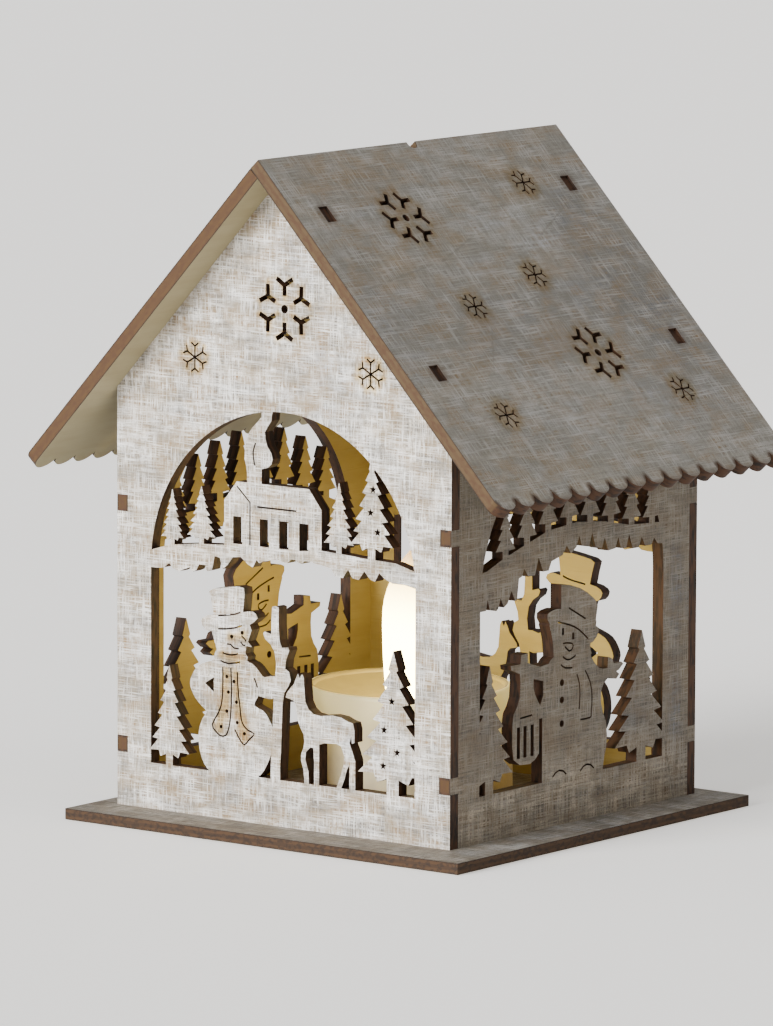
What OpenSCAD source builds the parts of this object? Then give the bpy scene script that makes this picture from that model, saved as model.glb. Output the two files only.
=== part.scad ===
// Laser-cut plywood house lantern with an LED candle that pushes in from below.
// Z = 0 is the table, the origin is the middle of the base plate's underside,
// and the house front faces -Y.

/* [House] */
// Width of the two gable walls
house_w = 85; // [80:0.5:92]
// Depth over the outer faces of the two gable walls
house_d = 84; // [80:0.5:90]
// Height of the side walls above the base plate
eave_h = 86; // [84:0.5:92]
// Slope of both roof panels in degrees
roof_slope = 47; // [42:1:50]
// Thickness of the wall plywood
wall_t = 2.7; // [2.4:0.1:3.0]
// Thickness of the roof plywood
roof_t = 2.7; // [2.4:0.1:3.0]
// How far the house stands to the left of the base plate's middle
house_left = 2.4; // [-3:0.1:3]
// How far the house stands behind the base plate's middle
house_back = 2.6; // [-3:0.1:3]

/* [Base plate] */
// Width of the base plate
base_w = 100; // [98:0.5:110]
// Depth of the base plate
base_d = 100; // [98:0.5:110]
// Thickness of the base plate
base_t = 2.3; // [2:0.1:3]

/* [Roof] */
// Depth of the roof panels, along the ridge
roof_d = 100; // [96:0.5:110]
// Length of a roof panel from the ridge to its scallop tips
roof_len = 86.2; // [84:0.2:90]
// Number of scallops along each eave
scallop_count = 16; // [12:1:20]
// Depth of the scallops
scallop_h = 2.4; // [1.6:0.1:2.8]
// Width of the notch in the middle of the ridge edge
ridge_notch_w = 2.8; // [2:0.2:4]
// Depth of that notch
ridge_notch_h = 1.7; // [1.5:0.1:2.2]

/* [Joints between the panels] */
// Height of the tabs that lock the side walls into the gable walls
corner_tab_h = 3.3; // [2.6:0.1:4]
// Height of the lower corner tab's middle above the base plate
corner_tab_low = 12.7; // [10:0.1:16]
// Height of the upper corner tab's middle above the base plate
corner_tab_high = 62.3; // [56:0.1:70]
// Length of the tabs that lock the roof onto the gable walls
roof_tab_len = 3.8; // [3:0.1:5]
// Place of the upper roof tab, down the slope from the ridge
roof_tab_upper = 12.2; // [10:0.1:16]
// Place of the lower roof tab, down the slope from the ridge
roof_tab_lower = 52.8; // [46:0.1:56]
// How far the roof tabs stop short of the roof's outer face
roof_tab_recess = 0.6; // [0.2:0.1:1]
// Length of the tabs that lock the walls into the base plate
base_tab_len = 8; // [5:0.5:12]
// Distance of the base tabs from the middle of each wall
base_tab_place = 24; // [18:0.5:28]
// Play of a tab in its slot, over both sides together
tab_play = 0.1; // [0.05:0.05:0.2]

/* [Gable windows] */
// Width of both windows in the gable walls
gable_win_w = 67.4; // [64:0.2:70]
// Height of the lower window's sill above the base plate
gable_sill = 9.5; // [8:0.1:11]
// Height of the lower window, which sets the size of its figures
gable_low_h = 41.5; // [40:0.1:42.5]
// Height of the arched window's foot above the base plate
gable_arch_foot = 50.4; // [50:0.1:52]
// Height of the snow ground that carries the upper scene
gable_snow = 55.6; // [55:0.1:57]

/* [Side windows] */
// Width of both windows in the side walls
side_win_w = 62.6; // [60:0.2:65]
// How far the side windows lie ahead of the wall's middle
side_win_ahead = 1; // [0:0.1:2]
// Height of the lower window's sill above the base plate
side_sill = 9.4; // [8:0.1:11]
// Height of the lower window, which sets the size of its figures
side_low_h = 44; // [42:0.2:45]
// Height of the arched window's foot above the base plate
side_arch_foot = 48; // [47:0.1:49]
// Height of the snow ground that carries the row of firs
side_snow = 58.5; // [58:0.1:60]

/* [Snowflakes] */
// Radius of the large cut-out snowflakes
flake_r = 6.7; // [5:0.1:7]
// Width of a large snowflake's cut-outs
flake_bar = 1; // [0.7:0.1:1.2]
// Radius of the small line-cut snowflakes
fine_flake_r = 3.3; // [2.6:0.1:3.8]
// Width of the laser's fine line cuts
kerf = 0.36; // [0.25:0.01:0.45]

/* [Candle] */
// Diameter of the candle
candle_d = 42.6; // [42:0.2:44]
// Height of the candle's rim above the table
candle_rim = 27; // [26:0.2:30]
// Wall of the candle's moulded shell
shell_wall = 1.3; // [1:0.1:1.5]
// How deep the candle's top dips below its rim
dish_h = 4.6; // [3.6:0.2:5]
// Widest diameter of the flame
flame_d = 11.2; // [10:0.2:13]
// Height of the flame's widest place above the table
flame_wide_z = 40; // [36:0.5:42]
// Height of the flame's tip above the table
flame_tip = 54.4; // [50:0.2:58]
// Gap round the candle in the base plate's hole
candle_gap = 0.3; // [0.2:0.05:0.5]

/* [Battery and switch] */
// Diameter of the battery cover
cover_d = 24.6; // [24:0.2:25.4]
// Turn that frees the battery cover, in degrees
cover_turn = 30; // [28:1:32]
// Travel of the switch knob
switch_travel = 2; // [1.5:0.1:2.5]

/* [Hidden] */
$fn = 48;

// One overrun for every cut
over = 1;
// Steps of a smoothed outline between two of its points
steps = 2;

// Colours of the plywood: painted gables, aged roof, grey sides and floor
paint = [0.86, 0.84, 0.80];
aged = [0.52, 0.51, 0.48];
grey = [0.46, 0.43, 0.39];

// Ridge height of the roof's underside, and where each panel starts at the ridge
ridge_h = eave_h + house_w / 2 * tan(roof_slope);
gable_h = ridge_h - eave_h;
right_start = -roof_t / sin(2 * roof_slope);
left_start = max(0, roof_t / tan(2 * roof_slope));

// Shared 2D helpers

function along(p, q, s) = p + (q - p) * s;

// Catmull-Rom point between p1 and p2
function spline(p0, p1, p2, p3, s) = 0.5 * (2 * p1 + (p2 - p0) * s
    + (2 * p0 - 5 * p1 + 4 * p2 - p3) * s * s + (3 * p1 - p0 - 3 * p2 + p3) * s * s * s);

// Closed smooth outline through hand-set points
function smooth(p) = let (n = len(p))
    [for (i = [0:n - 1], k = [0:steps - 1])
        spline(p[(i + n - 1) % n], p[i], p[(i + 1) % n], p[(i + 2) % n], k / steps)];

// Open smooth line through hand-set points
function smooth_line(p) = let (n = len(p))
    [for (i = [0:n - 2], k = [0:steps - 1])
        spline(p[max(i - 1, 0)], p[i], p[i + 1], p[min(i + 2, n - 1)], k / steps), p[n - 1]];

function unit(v) = v / norm(v);
function turned(v) = [-v[1], v[0]];

// Outline of a line cut of width w through the points p
function stroke(p, w) = let (n = len(p),
    side = [for (i = [0:n - 1]) turned(unit(p[min(i + 1, n - 1)] - p[max(i - 1, 0)])) * w / 2])
    concat([for (i = [0:n - 1]) p[i] + side[i]], [for (i = [n - 1:-1:0]) p[i] - side[i]]);

module line_cut(p, w = kerf) polygon(stroke(p, w));

module line_cuts(lines) for (p = lines) line_cut(smooth_line(p));

module spots(places, r) for (p = places) translate(p) circle(r, $fn = 8);

module bar(p, q, w) translate(p) rotate(atan2(q[1] - p[1], q[0] - p[0]))
    translate([0, -w / 2]) square([norm(q - p), w]);

function arc(c, r, a0, a1, n) = [for (i = [0:n]) let (a = along(a0, a1, i / n))
    c + r * [cos(a), sin(a)]];

// Upright box on the Z axis, from z up
module post_box(w, d, z, h) translate([-w / 2, -d / 2, z]) cube([w, d, h]);

module star(r) {
    points = 5;
    inner_share = 0.42;
    polygon([for (i = [0:2 * points - 1])
        let (a = 90 + 180 / points * i, d = i % 2 == 0 ? 1 : inner_share)
        r * d * [cos(a), sin(a)]]);
}

// Large snowflake: a centre hole and six forked cut-outs
module flake(r = flake_r, w = flake_bar) {
    hub_share = 0.13;
    foot_share = 0.4;
    fork_share = 0.72;
    arm_share = 0.36;
    fork_turn = 58;
    fork = [r * fork_share, 0];
    circle(r * hub_share, $fn = 16);
    for (i = [0:5]) rotate(60 * i) {
        bar([r * foot_share, 0], fork, w);
        for (s = [-1, 1]) bar(fork, fork + r * arm_share * [cos(s * fork_turn), sin(s * fork_turn)], w);
    }
}

// Small snowflake: six line cuts with forked ends
module fine_flake(r = fine_flake_r, w = kerf) {
    fork_share = 0.68;
    arm_share = 0.36;
    fork_turn = 52;
    fork = [r * fork_share, 0];
    for (i = [0:2]) rotate(60 * i) bar(-fork, fork, w);
    for (i = [0:5], s = [-1, 1]) rotate(60 * i)
        bar(fork, fork + r * arm_share * [cos(s * fork_turn), sin(s * fork_turn)], w);
}

// Fir tree of width w and height h over the ground: right side's points in shares of
// half the width and of the height. Its trunk runs on into the ground.
fir_shares = [[0, 1], [0.14, 0.87], [0.09, 0.855], [0.3, 0.76], [0.18, 0.745], [0.45, 0.64],
    [0.26, 0.625], [0.58, 0.51], [0.36, 0.495], [0.76, 0.38], [0.47, 0.365], [0.86, 0.26],
    [0.58, 0.25], [1, 0.135], [0.55, 0.14], [0.45, 0.08], [0.17, 0.11]];
row_fir_shares = [[0, 1], [0.32, 0.77], [0.18, 0.755], [0.56, 0.55], [0.32, 0.535], [0.78, 0.35],
    [0.48, 0.335], [1, 0.135], [0.3, 0.12]];
fir_root = 1.5;

module fir(w, h, shares = fir_shares) {
    n = len(shares) - 1;
    side = [for (p = shares) [p[0] * w / 2, p[1] * h]];
    polygon(concat(side, [[side[n][0], -fir_root], [-side[n][0], -fir_root]],
        [for (i = [n:-1:1]) [-side[i][0], side[i][1]]]));
}

// Gable scene. Figures are in hundredths of the lower window's height, X from the
// figure's own middle line and Z from the sill.

snowman_body_shares = [[-11, 60], [-12, 55.5], [-17, 53.5], [-22.5, 51], [-26, 46.5], [-27.5, 42],
    [-25.5, 37], [-22, 33], [-18, 30], [-17, 28.5], [-19.5, 25.5], [-21.5, 20.5], [-22, 14.5],
    [-21, 8.5], [-18.5, 3], [-14.5, -0.5], [-9.5, -3], [10, -3], [15, 0], [18.5, 3.5], [21, 7.5],
    [23, 12], [25.5, 15.5], [25.5, 23], [23.5, 26], [21.5, 29.5], [18, 33], [12.5, 35], [14.5, 39],
    [15.5, 40], [18.5, 39.5], [25.5, 40], [26, 50.5], [19, 49.5], [16.5, 51], [14, 53.5], [11, 55.5],
    [8, 56.5], [7, 60]];
snowman_head_shares = [[-13.5, 70], [-13, 66.5], [-11.5, 62.5], [-10.5, 59.5], [-8, 57.5], [5, 57],
    [7, 59.5], [7.5, 63.5], [9.5, 68.5], [9.5, 74.5], [-9.5, 74.5]];
snowman_nose_shares = [[5.5, 64], [11, 63.5], [8, 66.5]];
snowman_crown_shares = [[-12.5, 76], [-14, 83], [-15.5, 88.5], [-13, 90], [-4.5, 91.5], [2.5, 92.5],
    [6, 92], [6.5, 89], [5.5, 80.5], [5.5, 78.5]];
snowman_brim_shares = [[-20.5, 73.5], [-16.5, 76.5], [-4.5, 78.5], [5, 80], [11.5, 81], [14.5, 78],
    [9, 74], [4, 73], [-4.5, 71], [-13, 69], [-18, 69.5]];
snowman_staff_shares = [[22.5, -3], [23, 11], [24, 25.5], [24.5, 40], [25.5, 52], [26, 56.5],
    [25, 62.5], [22.5, 66], [19, 68.5], [18, 71], [19, 72], [23, 71], [23, 78.5], [23.5, 84.5],
    [25.5, 85], [27.5, 84.5], [27.5, 76], [28, 68.5], [29.5, 65], [33.5, 65.5], [34, 64], [32, 59],
    [31.5, 55], [34, 53.5], [35, 49.5], [33.5, 46.5], [31, 43], [30, 37.5], [29.5, 25.5], [29, 13.5],
    [28.5, 6], [28.5, -3]];
snowman_elbow_shares = [[-18, 43], [-12.5, 46.5], [-12.5, 39]];
snowman_eye_shares = [[-1.5, 67.5], [5, 70]];
snowman_eye_share = 1.1;
snowman_dot_shares = [[-4.5, 47.5], [-3.5, 40], [-4.5, 30.5], [-8, 22.5], [0, 45.5], [1.5, 35.5],
    [2, 25.5], [6.5, 20.5]];
snowman_dot_share = 1;
snowman_hat_line_shares = [[[-10, 77], [-3, 78], [1.5, 79], [4, 80]],
    [[-10, 70.5], [-4.5, 71], [0.5, 72], [5, 73.5]]];
snowman_face_line_shares = [[[4.5, 68.5], [6, 67.5], [7.5, 66]], [[4, 65.5], [5.5, 64], [7, 64]],
    [[-4.5, 63.5], [-2, 63.5], [0, 62], [3, 62]], [[12.5, 48.5], [13.5, 46.5], [14.5, 44]]];
snowman_scarf_line_shares = [[[-7, 59], [-4.5, 58.5], [-1, 58.5], [2.5, 59.5]],
    [[-8.5, 55], [-3.5, 54], [4, 55.5]],
    [[-7, 52], [-7, 42], [-7.5, 35], [-9.5, 29.5], [-13.5, 23], [-11.5, 20], [-8.5, 18], [-5, 18.5],
        [-3, 23], [-2, 30], [-1.5, 40], [-2, 52]],
    [[2, 50.5], [2.5, 42], [3.5, 35], [4.5, 27.5], [6, 24.5], [8.5, 22.5], [12.5, 21], [9.5, 18],
        [6.5, 15], [3.5, 17.5], [0.5, 22]]];
deer_shares = [[-26.5, 41], [-26, 43], [-23.5, 46], [-21.5, 48], [-20.5, 50.5], [-19, 53.5], [-18, 51],
    [-16.5, 53.5], [-15.5, 51.5], [-15, 45.5], [-14.5, 40], [-12.5, 36.5], [-9.5, 34.5], [-5, 34],
    [2, 35], [7.5, 34.5], [11.5, 33], [14.5, 32.5], [15.5, 29], [15.5, 23], [14, 22.5], [13.5, 26],
    [12.5, 22.5], [14.5, 18], [16, 14], [16, -3], [12.5, -3], [12.5, 5], [12.5, 12], [11, 9.5],
    [9.5, 4.5], [7.5, 0], [7, -3], [4.5, -3], [5, 1], [7.5, 7], [9, 12], [9.5, 15.5], [7.5, 20.5],
    [4.5, 21.5], [-2.5, 21], [-6, 20], [-6, 11], [-6, -3], [-9, -3], [-9, 11], [-9.5, 18], [-11.5, 18],
    [-14, 15.5], [-14.5, 12], [-12.5, 6], [-12, -3], [-15, -3], [-15, 1.5], [-15.5, 6.5], [-17, 11],
    [-17, 14], [-15.5, 17.5], [-15, 20.5], [-15.5, 24], [-17.5, 27], [-19, 30.5], [-20, 35],
    [-20.5, 38.5], [-22, 40]];

// Where the two figures stand, as shares of half the window's width
snowman_place_share = -0.36;
deer_place_share = 0.36;

module at_gable_figure(place) translate([place * gable_win_w / 2, gable_sill]) children();

module gable_snowman() at_gable_figure(snowman_place_share) {
    u = gable_low_h / 100;
    difference() {
        union() {
            polygon(smooth(u * snowman_body_shares));
            polygon(smooth(u * snowman_head_shares));
            polygon(u * snowman_nose_shares);
            polygon(u * snowman_crown_shares);
            polygon(smooth(u * snowman_brim_shares));
            polygon(u * snowman_staff_shares);
        }
        polygon(u * snowman_elbow_shares);
        spots(u * snowman_eye_shares, u * snowman_eye_share);
        spots(u * snowman_dot_shares, u * snowman_dot_share);
        line_cuts(u * snowman_hat_line_shares);
        line_cuts([for (l = concat(snowman_face_line_shares, snowman_scarf_line_shares)) u * l]);
    }
}

module gable_deer() at_gable_figure(deer_place_share) polygon(gable_low_h / 100 * deer_shares);

// Firs of the gable scenes: place as a share of half the window's width, then
// width and height as shares of the lower window's height
gable_low_fir_shares = [[-0.857, 0.246, 0.496], [0.837, 0.42, 0.7]];
gable_top_fir_shares = [[-0.834, 0.14, 0.275], [-0.611, 0.178, 0.285], [0.43, 0.183, 0.345],
    [0.674, 0.255, 0.5]];
// Stars cut in the two large firs, in the same shares
gable_low_star_shares = [[0.828, 0.455], [0.772, 0.313], [0.869, 0.21], [0.766, 0.137]];
gable_top_star_shares = [[0.683, 0.359], [0.665, 0.246], [0.718, 0.154]];
star_r = 0.95;

// Snow between the two gable windows, in shares of half the width and of the lower
// window's height: its foot drips unevenly along the window
gable_snow_top_shares = [[-1.02, -0.06], [-0.86, -0.02], [-0.65, 0], [-0.44, 0.01], [0, 0.01],
    [0.3, 0.035], [0.45, 0.03], [0.65, 0.02], [0.85, 0.015], [1.02, -0.02]];
gable_snow_foot_shares = [[1.02, -0.1], [0.92, -0.085], [0.83, -0.085], [0.77, -0.065], [0.73, -0.04],
    [0.7, -0.085], [0.66, -0.075], [0.62, -0.04], [0.58, -0.085], [0.53, -0.08], [0.5, -0.04],
    [0.46, -0.085], [0.4, -0.08], [0.37, -0.045], [0.3, -0.035], [0.24, -0.03], [0.22, -0.015],
    [0.18, -0.02], [0.15, -0.04], [0.12, -0.035], [0.09, -0.012], [0.04, -0.045], [0, -0.04], [-0.04, -0.03],
    [-0.08, -0.04], [-0.14, -0.05], [-0.17, -0.06], [-0.19, -0.045], [-0.22, -0.085], [-0.26, -0.07],
    [-0.31, -0.04], [-0.37, -0.045], [-0.41, -0.085], [-0.45, -0.11], [-0.47, -0.055], [-0.51, -0.05],
    [-0.53, -0.12], [-0.57, -0.13], [-0.58, -0.1], [-0.63, -0.1], [-0.65, -0.13], [-0.68, -0.14],
    [-0.7, -0.12], [-0.74, -0.13], [-0.78, -0.145], [-0.83, -0.135], [-0.86, -0.11], [-0.9, -0.135],
    [-0.95, -0.14], [-1.02, -0.14]];

function gable_ground(x) = gable_snow + lookup(x, gable_snow_top_shares) * gable_low_h;

module gable_snow_strip() polygon([for (p = concat(gable_snow_top_shares, gable_snow_foot_shares))
    [p[0] * gable_win_w / 2, gable_snow + p[1] * gable_low_h]]);

module gable_firs() {
    for (r = gable_low_fir_shares) translate([r[0] * gable_win_w / 2, gable_sill])
        fir(r[1] * gable_low_h, r[2] * gable_low_h);
    for (r = gable_top_fir_shares) translate([r[0] * gable_win_w / 2, gable_ground(r[0])])
        fir(r[1] * gable_low_h, r[2] * gable_low_h);
}

module gable_stars() {
    for (r = gable_low_star_shares) translate([r[0] * gable_win_w / 2, gable_sill + r[1] * gable_low_h])
        star(star_r);
    for (r = gable_top_star_shares) translate([r[0] * gable_win_w / 2, gable_snow + r[1] * gable_low_h])
        star(star_r);
}

// Small church of the upper scene with its chimney and smoke
church_w = 24.8;
church_h = 13.6;
church_wall_h = 9.6;
church_place = -2.3;
church_gable_w = 6.6;
church_slope_w = 3.2;
church_line_drop = 0.9;
church_line_w = 10;
pane_w = 2.4;
pane_h = 5.6;
pane_sill = 0.9;
pane_shares = [-0.36, -0.085, 0.115, 0.32];
chimney_w = 3.7;
chimney_h = 3.2;
chimney_share = -0.19;
// Smoke in hundredths of the height between the roof and the arch
smoke_shares = [[-12, 12], [-14, 23], [-17, 32], [-16, 46], [-13, 59], [-9, 68], [-3, 76], [6, 84],
    [12, 91], [13, 106], [33, 106], [30, 95], [29, 87], [23, 79], [18, 71], [19, 62], [22, 52],
    [29, 43], [31, 35], [29, 28], [23, 23], [12, 20]];
smoke_line_shares = [[2, 55], [-2, 43], [-1, 32], [1, 24]];

module church() {
    left = church_place - church_w / 2;
    right = church_place + church_w / 2;
    top = gable_snow + church_h;
    eave = gable_snow + church_wall_h;
    stack = church_place + chimney_share * church_w;
    u = (gable_arch_foot + gable_win_w / 2 - top) / 100;
    difference() {
        union() {
            polygon([[left, gable_snow - over], [left, eave], [left + church_slope_w, top],
                [right - church_slope_w, top], [right, eave], [right, gable_snow - over]]);
            translate([stack - chimney_w / 2, top - over]) square([chimney_w, over + chimney_h]);
            translate([stack, top]) polygon(u * smoke_shares);
        }
        for (s = pane_shares) translate([church_place + s * church_w - pane_w / 2, gable_snow + pane_sill])
            square([pane_w, pane_h]);
        line_cut([[left + church_slope_w, top - church_line_drop], [left + church_gable_w, eave],
            [left + church_gable_w, gable_snow + pane_sill]]);
        translate([church_place - church_line_w * 2 / 5, eave - church_line_drop])
            square([church_line_w, kerf]);
        translate([stack, top]) line_cut(smooth_line(u * smoke_line_shares));
    }
}

// A square window with a half-round head, both windows' openings as one
module arched_opening(w, sill, foot) {
    translate([-w / 2, sill]) square([w, foot - sill]);
    intersection() {
        translate([0, foot]) circle(w / 2);
        translate([-w / 2, foot - over]) square([w, w]);
    }
}

module gable_scene() {
    difference() {
        gable_firs();
        gable_stars();
    }
    gable_snowman();
    gable_deer();
    church();
    gable_snow_strip();
}

// Places of the gable's snowflakes, in shares of half its width and of its height
gable_flake_share = [0.014, 0.415];
gable_fine_flake_share = [0.525, 0.165];

module at_gable(share) translate([share[0] * house_w / 2, eave_h + share[1] * gable_h])
    rotate(30) children();

// Tabs down into the base plate, the same on all four walls
module base_tabs() for (s = [-1, 1]) translate([s * base_tab_place - base_tab_len / 2, -base_t])
    square([base_tab_len, base_t + over]);

// Point u down the right-hand roof slope from the ridge and d out from it
function on_slope(u, d) = [u * cos(roof_slope) + d * sin(roof_slope),
    ridge_h - u * sin(roof_slope) + d * cos(roof_slope)];

module gable_shape() {
    tab_h = roof_t - roof_tab_recess;
    slope = [for (u = [roof_tab_lower, roof_tab_upper], q = [[1, 0], [1, tab_h], [-1, tab_h], [-1, 0]])
        on_slope(u + q[0] * roof_tab_len / 2, q[1])];
    half = concat([[house_w / 2, 0], [house_w / 2, eave_h]], slope);
    difference() {
        union() {
            polygon(concat(half, [[0, ridge_h]],
                [for (i = [len(half) - 1:-1:0]) [-half[i][0], half[i][1]]]));
            base_tabs();
        }
        for (s = [0, 1], z = [corner_tab_low, corner_tab_high]) mirror([s, 0])
            translate([house_w / 2 - wall_t - tab_play / 2, z - (corner_tab_h + tab_play) / 2])
                square([wall_t + over, corner_tab_h + tab_play]);
        difference() {
            arched_opening(gable_win_w, gable_sill, gable_arch_foot);
            gable_scene();
        }
        at_gable(gable_flake_share) flake();
        for (s = [0, 1]) mirror([s, 0]) at_gable(gable_fine_flake_share) fine_flake();
    }
}

// Side scene, drawn with Y to the right as seen from outside the right wall. Its
// figures are in hundredths of the lower window's height, from the wall's middle.

side_body_shares = [[-25.5, -2.5], [-25.5, 32], [-27, 36.5], [-25, 40.5], [-25, 46.5], [-24, 49.5],
    [-22.5, 53], [-19.5, 56], [-16.5, 57.5], [11.5, 57.5], [12, 54], [14.5, 51], [18, 48], [22, 44],
    [22, 40], [20, 36.5], [20, 32], [21.5, 27], [24, 22], [25, 16], [24.5, 10.5], [23, 6], [22, 1.5],
    [21.5, -2.5]];
side_head_shares = [[-20, 74], [-19.5, 69.5], [-18, 65], [-17, 57.5], [-16, 54.5], [10.5, 54],
    [11.5, 57], [11.5, 60.5], [10.5, 65], [0, 70.5], [-9, 74.5]];
side_crown_shares = [[-11.5, 76.5], [-11.5, 90], [-4.5, 89], [2.5, 87], [9, 84], [15, 80], [17, 77],
    [16, 72.5], [15, 66.5], [11.5, 64]];
side_brim_shares = [[-22, 77.5], [-16, 79], [-10.5, 78.5], [0, 75.5], [14.5, 68.5], [18, 65],
    [13.5, 60.5], [10, 61], [2.5, 65.5], [-4.5, 69.5], [-13.5, 72.5], [-20.5, 73]];
side_arm_shares = [[-42.5, 48], [-43, 52.5], [-49.5, 55], [-50, 57], [-42.5, 57], [-42, 61],
    [-37, 61.5], [-37, 57], [-32.5, 55.5], [-27.5, 54], [-20.5, 54.5], [-21.5, 47], [-25, 47],
    [-32.5, 49]];
side_branch_shares = [[9, 57.5], [11.5, 54.5], [14.5, 51], [17.5, 48], [21.5, 47], [25, 47],
    [25.5, 52], [28.5, 51], [30, 48.5], [36, 48.5], [37.5, 47.5], [34, 45], [32, 44.5], [34.5, 43],
    [32, 41], [25, 42], [22, 40], [18, 40], [9, 47]];
side_broom_shares = [[-28, 30], [-28, 14], [-31, 11.5], [-35, 10], [-42.5, 10.5], [-47.5, 13.5],
    [-48.5, 19.5], [-48.5, 30], [-47.5, 34.5], [-45, 37.5], [-43, 41.5], [-42.5, 48], [-42.5, 51.5],
    [-32.5, 51.5], [-32.5, 45.5], [-31.5, 42], [-28.5, 37.5], [-27, 36], [-24.5, 34.5], [-24.5, 30]];
side_slot_shares = [[-45, 13.5], [-40, 13.5], [-34.5, 13.5]];
side_slot_size_share = [2.4, 14.5];
side_button_shares = [[-10.5, 44.5], [-10.5, 36.5], [-10.5, 25.5]];
side_button_share = 1.7;
side_eye_shares = [[-10, 66.5], [-2, 63.5]];
side_eye_share = 3.2;
side_foot_shares = [[-12, -3], [9.5, -3]];
side_foot_share = 7;
foot_from = 140;
foot_to = 40;
side_hat_line_shares = [[[-14, 73], [-4.5, 70.5], [2.5, 67.5], [9.5, 62.5]], [[-5.5, 78.5], [7.5, 72]]];
side_face_line_shares = [[[-10, 62.5], [-6.5, 62.5], [-2.5, 61.5], [-2.5, 59.5], [-5, 58.5],
    [-8.5, 61]], [[-10, 56.5], [-7.5, 55], [-5, 54.5], [-2.5, 55], [0, 56]],
    [[-11.5, 53], [-8, 51], [-2.5, 50.5]]];
side_coat_line_shares = [[[1, 47], [3, 42.5], [3.5, 36.5], [3, 30.5]], [[-42.5, 32], [-33.5, 32.5]],
    [[7.5, 48], [11.5, 42], [13, 35], [12.5, 27.5], [11.5, 25.5], [4, 25.5]]];

module side_snowman() translate([0, side_sill]) {
    u = side_low_h / 100;
    difference() {
        union() {
            polygon(u * side_body_shares);
            polygon(smooth(u * side_head_shares));
            polygon(u * side_crown_shares);
            polygon(smooth(u * side_brim_shares));
            polygon(u * side_arm_shares);
            polygon(u * side_branch_shares);
            polygon(u * side_broom_shares);
        }
        for (p = side_slot_shares) translate(u * p) square(u * side_slot_size_share);
        spots(u * side_button_shares, u * side_button_share);
        for (p = side_eye_shares) line_cut([u * p, u * (p + [0, side_eye_share])], 2 * kerf);
        line_cuts([for (l = concat(side_hat_line_shares, side_face_line_shares, side_coat_line_shares))
            u * l]);
        for (p = side_foot_shares) line_cut(arc(u * p, u * side_foot_share, foot_from, foot_to, 4));
    }
}

// Snow strip between the side windows, in shares of half the width and of side_low_h
side_snow_top_shares = [[1.06, -0.03], [0.9, -0.01], [0.6, 0], [0.3, 0.04], [0, 0.06], [-0.3, 0.045],
    [-0.6, -0.01], [-0.8, -0.05], [-0.96, -0.09], [-1.06, -0.1]];
side_snow_foot_shares = [[-1.06, -0.27], [-0.97, -0.27], [-0.955, -0.22], [-0.93, -0.27], [-0.86, -0.28],
    [-0.84, -0.27], [-0.815, -0.225], [-0.78, -0.27], [-0.74, -0.255], [-0.7, -0.2], [-0.66, -0.25],
    [-0.64, -0.25], [-0.62, -0.15], [-0.59, -0.145], [-0.565, -0.11], [-0.52, -0.15], [-0.45, -0.15],
    [-0.41, -0.07], [-0.36, -0.14], [-0.3, -0.14], [-0.27, -0.1], [-0.15, -0.08], [-0.105, -0.04],
    [-0.06, -0.08], [0, -0.055], [0.03, -0.005], [0.06, -0.055], [0.14, -0.065], [0.17, 0],
    [0.21, -0.07], [0.28, -0.085], [0.31, -0.035], [0.35, -0.1], [0.43, -0.095], [0.46, -0.045],
    [0.49, -0.1], [0.55, -0.105], [0.58, -0.04], [0.62, -0.11], [0.69, -0.11], [0.72, -0.065],
    [0.76, -0.11], [0.83, -0.11], [0.86, -0.08], [0.9, -0.11], [1.06, -0.12]];

function side_ground(y) = side_snow + lookup(y, side_snow_top_shares) * side_low_h;

// Lower firs: place as a share of half the window's width, width and height as
// shares of the lower window's height
side_low_fir_shares = [[-0.927, 0.364, 0.59], [0.732, 0.42, 0.614]];
// Row of firs in the arch: the outer ones are shorter
row_count = 8;
row_fir_w = 6.6;
row_fir_h = 12.6;
row_reach_share = 0.8;
row_place_share = 0.035;
row_drop_share = 0.16;

module side_firs() {
    for (r = side_low_fir_shares) translate([r[0] * side_win_w / 2, side_sill])
        fir(r[1] * side_low_h, r[2] * side_low_h);
    for (i = [0:row_count - 1])
        let (s = 2 * i / (row_count - 1) - 1, y = row_place_share + s * row_reach_share)
        translate([y * side_win_w / 2, side_ground(y)])
            fir(row_fir_w, row_fir_h * (1 - row_drop_share * s * s), row_fir_shares);
}

module side_scene() {
    side_firs();
    side_snowman();
    polygon([for (p = concat(side_snow_foot_shares, side_snow_top_shares))
        [p[0] * side_win_w / 2, side_snow + p[1] * side_low_h]]);
}

module side_shape() {
    inner_d = house_d - 2 * wall_t;
    difference() {
        union() {
            translate([-inner_d / 2, 0]) square([inner_d, eave_h]);
            for (z = [corner_tab_low, corner_tab_high]) translate([-house_d / 2, z - corner_tab_h / 2])
                square([house_d, corner_tab_h]);
            base_tabs();
        }
        difference() {
            translate([-side_win_ahead, 0]) arched_opening(side_win_w, side_sill, side_arch_foot);
            side_scene();
        }
    }
}

// Panels in place

module on_floor() translate([-house_left, house_back, base_t]) children();

module gable_panel() translate([0, -house_d / 2 + wall_t, 0]) rotate([90, 0, 0])
    linear_extrude(wall_t) gable_shape();

module side_panel() translate([house_w / 2 - wall_t, 0, 0]) rotate([90, 0, 90])
    linear_extrude(wall_t) side_shape();

module front_wall() color(paint) on_floor() gable_panel();
module back_wall() color(paint) on_floor() rotate(180) gable_panel();
module right_wall() color(grey) on_floor() side_panel();
module left_wall() color(grey) on_floor() rotate(180) side_panel();

// Slots for the base tabs of a wall whose middle plane lies d away from the house's middle
module base_slots(d) for (s = [-1, 1], t = [-1, 1]) translate([s * base_tab_place, t * d])
    square([base_tab_len + tab_play, wall_t + tab_play], center = true);

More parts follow.
